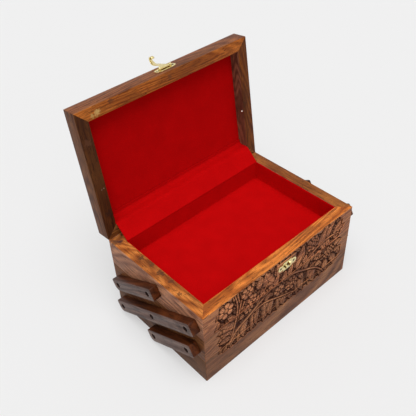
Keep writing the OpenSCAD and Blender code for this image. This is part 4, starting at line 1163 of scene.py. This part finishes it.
def build_screw_maker():
    """Geometry Nodes: a slotted screw at each point, its head looking along the point's "facing"
    and its slot turned by "slot_turn"."""
    maker = bpy.data.node_groups.new("slotted screws", "GeometryNodeTree")
    sizes = ("Head Radius", "Seat Radius", "Head Height", "Dome", "Slot Width", "Slot Depth",
             "Shank Radius", "Shank Length")
    for name, way, kind in (("Geometry", "INPUT", "Geometry"),
                            *((name, "INPUT", "Float") for name in sizes),
                            ("Finish", "INPUT", "Material"), ("Geometry", "OUTPUT", "Geometry")):
        maker.interface.new_socket(name, in_out=way, socket_type=f"NodeSocket{kind}")
    start = add_node(maker, "NodeGroupInput")
    head = add_node(maker, "GeometryNodeMeshCone", {
        "Vertices": 28, "Fill Segments": 4, "Radius Top": (start, "Head Radius"),
        "Radius Bottom": (start, "Seat Radius"), "Depth": (start, "Head Height")},
        fill_type="TRIANGLE_FAN")
    # the head's top falls off towards its edge, by Dome
    spot = add_node(maker, "GeometryNodeInputPosition")
    flat_spot = add_vectors(maker, "MULTIPLY", (spot, 0), (1, 1, 0))
    out = add_node(maker, "ShaderNodeVectorMath", {0: flat_spot}, operation="LENGTH")
    share = reckon(maker, "DIVIDE", (out, "Value"), (start, "Head Radius"))
    drop = reckon(maker, "MULTIPLY", reckon(maker, "POWER", share, 2.2), (start, "Dome"))
    offset = add_node(maker, "ShaderNodeCombineXYZ", {"Z": reckon(maker, "MULTIPLY", drop, -1.0)})
    domed = add_node(maker, "GeometryNodeSetPosition", {
        "Geometry": (head, "Mesh"), "Selection": (head, "Top"), "Offset": (offset, 0)})
    slot_size = add_node(maker, "ShaderNodeCombineXYZ", {
        "X": 0.02, "Y": (start, "Slot Width"), "Z": 0.002})
    slot_block = add_node(maker, "GeometryNodeMeshCube", {"Size": (slot_size, 0)})
    slot_foot = reckon(maker, "SUBTRACT", (start, "Head Height"), (start, "Slot Depth"))
    slot_place = add_node(maker, "ShaderNodeCombineXYZ", {
        "Z": reckon(maker, "ADD", slot_foot, 0.001)})
    slot_there = add_node(maker, "GeometryNodeTransform", {
        "Geometry": (slot_block, 0), "Translation": (slot_place, 0)})
    slotted = add_node(maker, "GeometryNodeMeshBoolean", {
        "Mesh 1": (domed, 0), "Mesh 2": (slot_there, 0)}, operation="DIFFERENCE", solver="EXACT")
    shank = add_node(maker, "GeometryNodeMeshCylinder", {
        "Vertices": 20, "Radius": (start, "Shank Radius"), "Depth": (start, "Shank Length")})
    shank_z = reckon(maker, "MULTIPLY_ADD", (start, "Shank Length"), -0.5, 0.0002)
    shank_place = add_node(maker, "ShaderNodeCombineXYZ", {"Z": shank_z})
    shank_there = add_node(maker, "GeometryNodeTransform", {
        "Geometry": (shank, 0), "Translation": (shank_place, 0)})
    screw = add_node(maker, "GeometryNodeJoinGeometry", {"Geometry": (slotted, 0)})
    maker.links.new(shank_there.outputs[0], screw.inputs[0])
    facing = add_node(maker, "GeometryNodeInputNamedAttribute", {"Name": "facing"},
                      data_type="FLOAT_VECTOR")
    slot_turn = add_node(maker, "GeometryNodeInputNamedAttribute", {"Name": "slot_turn"},
                         data_type="FLOAT")
    aimed = add_node(maker, "FunctionNodeAlignRotationToVector", {"Vector": (facing, 0)}, axis="Z")
    twist = add_node(maker, "FunctionNodeAxisAngleToRotation", {
        "Axis": (0, 0, 1), "Angle": (slot_turn, 0)})
    turned = add_node(maker, "FunctionNodeRotateRotation", {
        "Rotation": (aimed, 0), "Rotate By": (twist, 0)}, rotation_space="LOCAL")
    placed = add_node(maker, "GeometryNodeInstanceOnPoints", {
        "Points": (start, "Geometry"), "Instance": (screw, 0), "Rotation": (turned, 0)})
    real = add_node(maker, "GeometryNodeRealizeInstances", {"Geometry": (placed, 0)})
    done = add_node(maker, "GeometryNodeSetMaterial", {
        "Geometry": (real, 0), "Material": (start, "Finish")})
    add_node(maker, "NodeGroupOutput", {"Geometry": (done, 0)})
    return maker


screw_maker = build_screw_maker()
screw_sockets = {item.name: item.identifier for item in screw_maker.interface.items_tree
                 if item.item_type == "SOCKET" and item.in_out == "INPUT"}
slots = np.random.default_rng(5)


def put_screws(name, node, body, places, sizes, place_in=None):
    """Dark steel screws at (place, facing) pairs, as one mesh."""
    mesh = bpy.data.meshes.new(name)
    mesh.from_pydata([p for p, _ in places], [], [])
    mesh.attributes.new("facing", "FLOAT_VECTOR", "POINT").data.foreach_set(
        "vector", np.array([f for _, f in places], float).ravel())
    mesh.attributes.new("slot_turn", "FLOAT", "POINT").data.foreach_set(
        "value", slots.uniform(0, 3.1, len(places)))
    piece = add_piece(name, mesh, None)
    making = piece.modifiers.new("screws", "NODES")
    making.node_group = screw_maker
    for key, value in {**sizes, "Finish": steel}.items():
        making[screw_sockets[key]] = value
    piece.data = applied(piece)
    if place_in:
        piece.data.transform(place_in)
    smooth_shade(piece.data, 30)
    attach(piece, body)
    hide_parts(node)


pivot_screw = {"Head Radius": 0.0027, "Seat Radius": 0.0027, "Head Height": 0.0016,
               "Dome": 0.0005, "Slot Width": 0.0008, "Slot Depth": 0.0007,
               "Shank Radius": 0.0018, "Shank Length": 0.0143}
pivot_x = 0.12065
upper, long, lower = (arm_pivots[kind] for kind in ("upper", "long", "lower"))
pivot_places = {"bottom": (long[0], lower[0]), "middle": (upper[0], long[1], lower[1]),
                "top": (upper[1], long[2])}
for tray, pivots in pivot_places.items():
    put_screws(f"{tray}_tray_screws", f"{tray}_pivot_screws", f"{tray}_tray",
               [((side * pivot_x, y, z), (side, 0, 0)) for side in (-1, 1) for y, z in pivots],
               pivot_screw)
plate_screw = {"Head Radius": 0.0016, "Seat Radius": 0.0009, "Head Height": 0.0007,
               "Dome": 0.0001, "Slot Width": 0.00045, "Slot Depth": 0.0004,
               "Shank Radius": 0.0009, "Shank Length": 0.0053}
screw_apart, plate_seat_y = 0.010, -box_d / 2 - plate_t + 0.0007
for name, node, body, z, place_in in (
        ("catch_plate_screws", "catch_screws", "top_tray", catch_z, None),
        ("latch_plate_screws", "latch_screws", "lid", latch_axis_z, stand_open)):
    put_screws(name, node, body,
               [((latch_x + side * screw_apart, plate_seat_y, z), (0, -1, 0)) for side in (-1, 1)],
               plate_screw, place_in)
refinish(solids["lid_side_nails"].data, pale_steel)
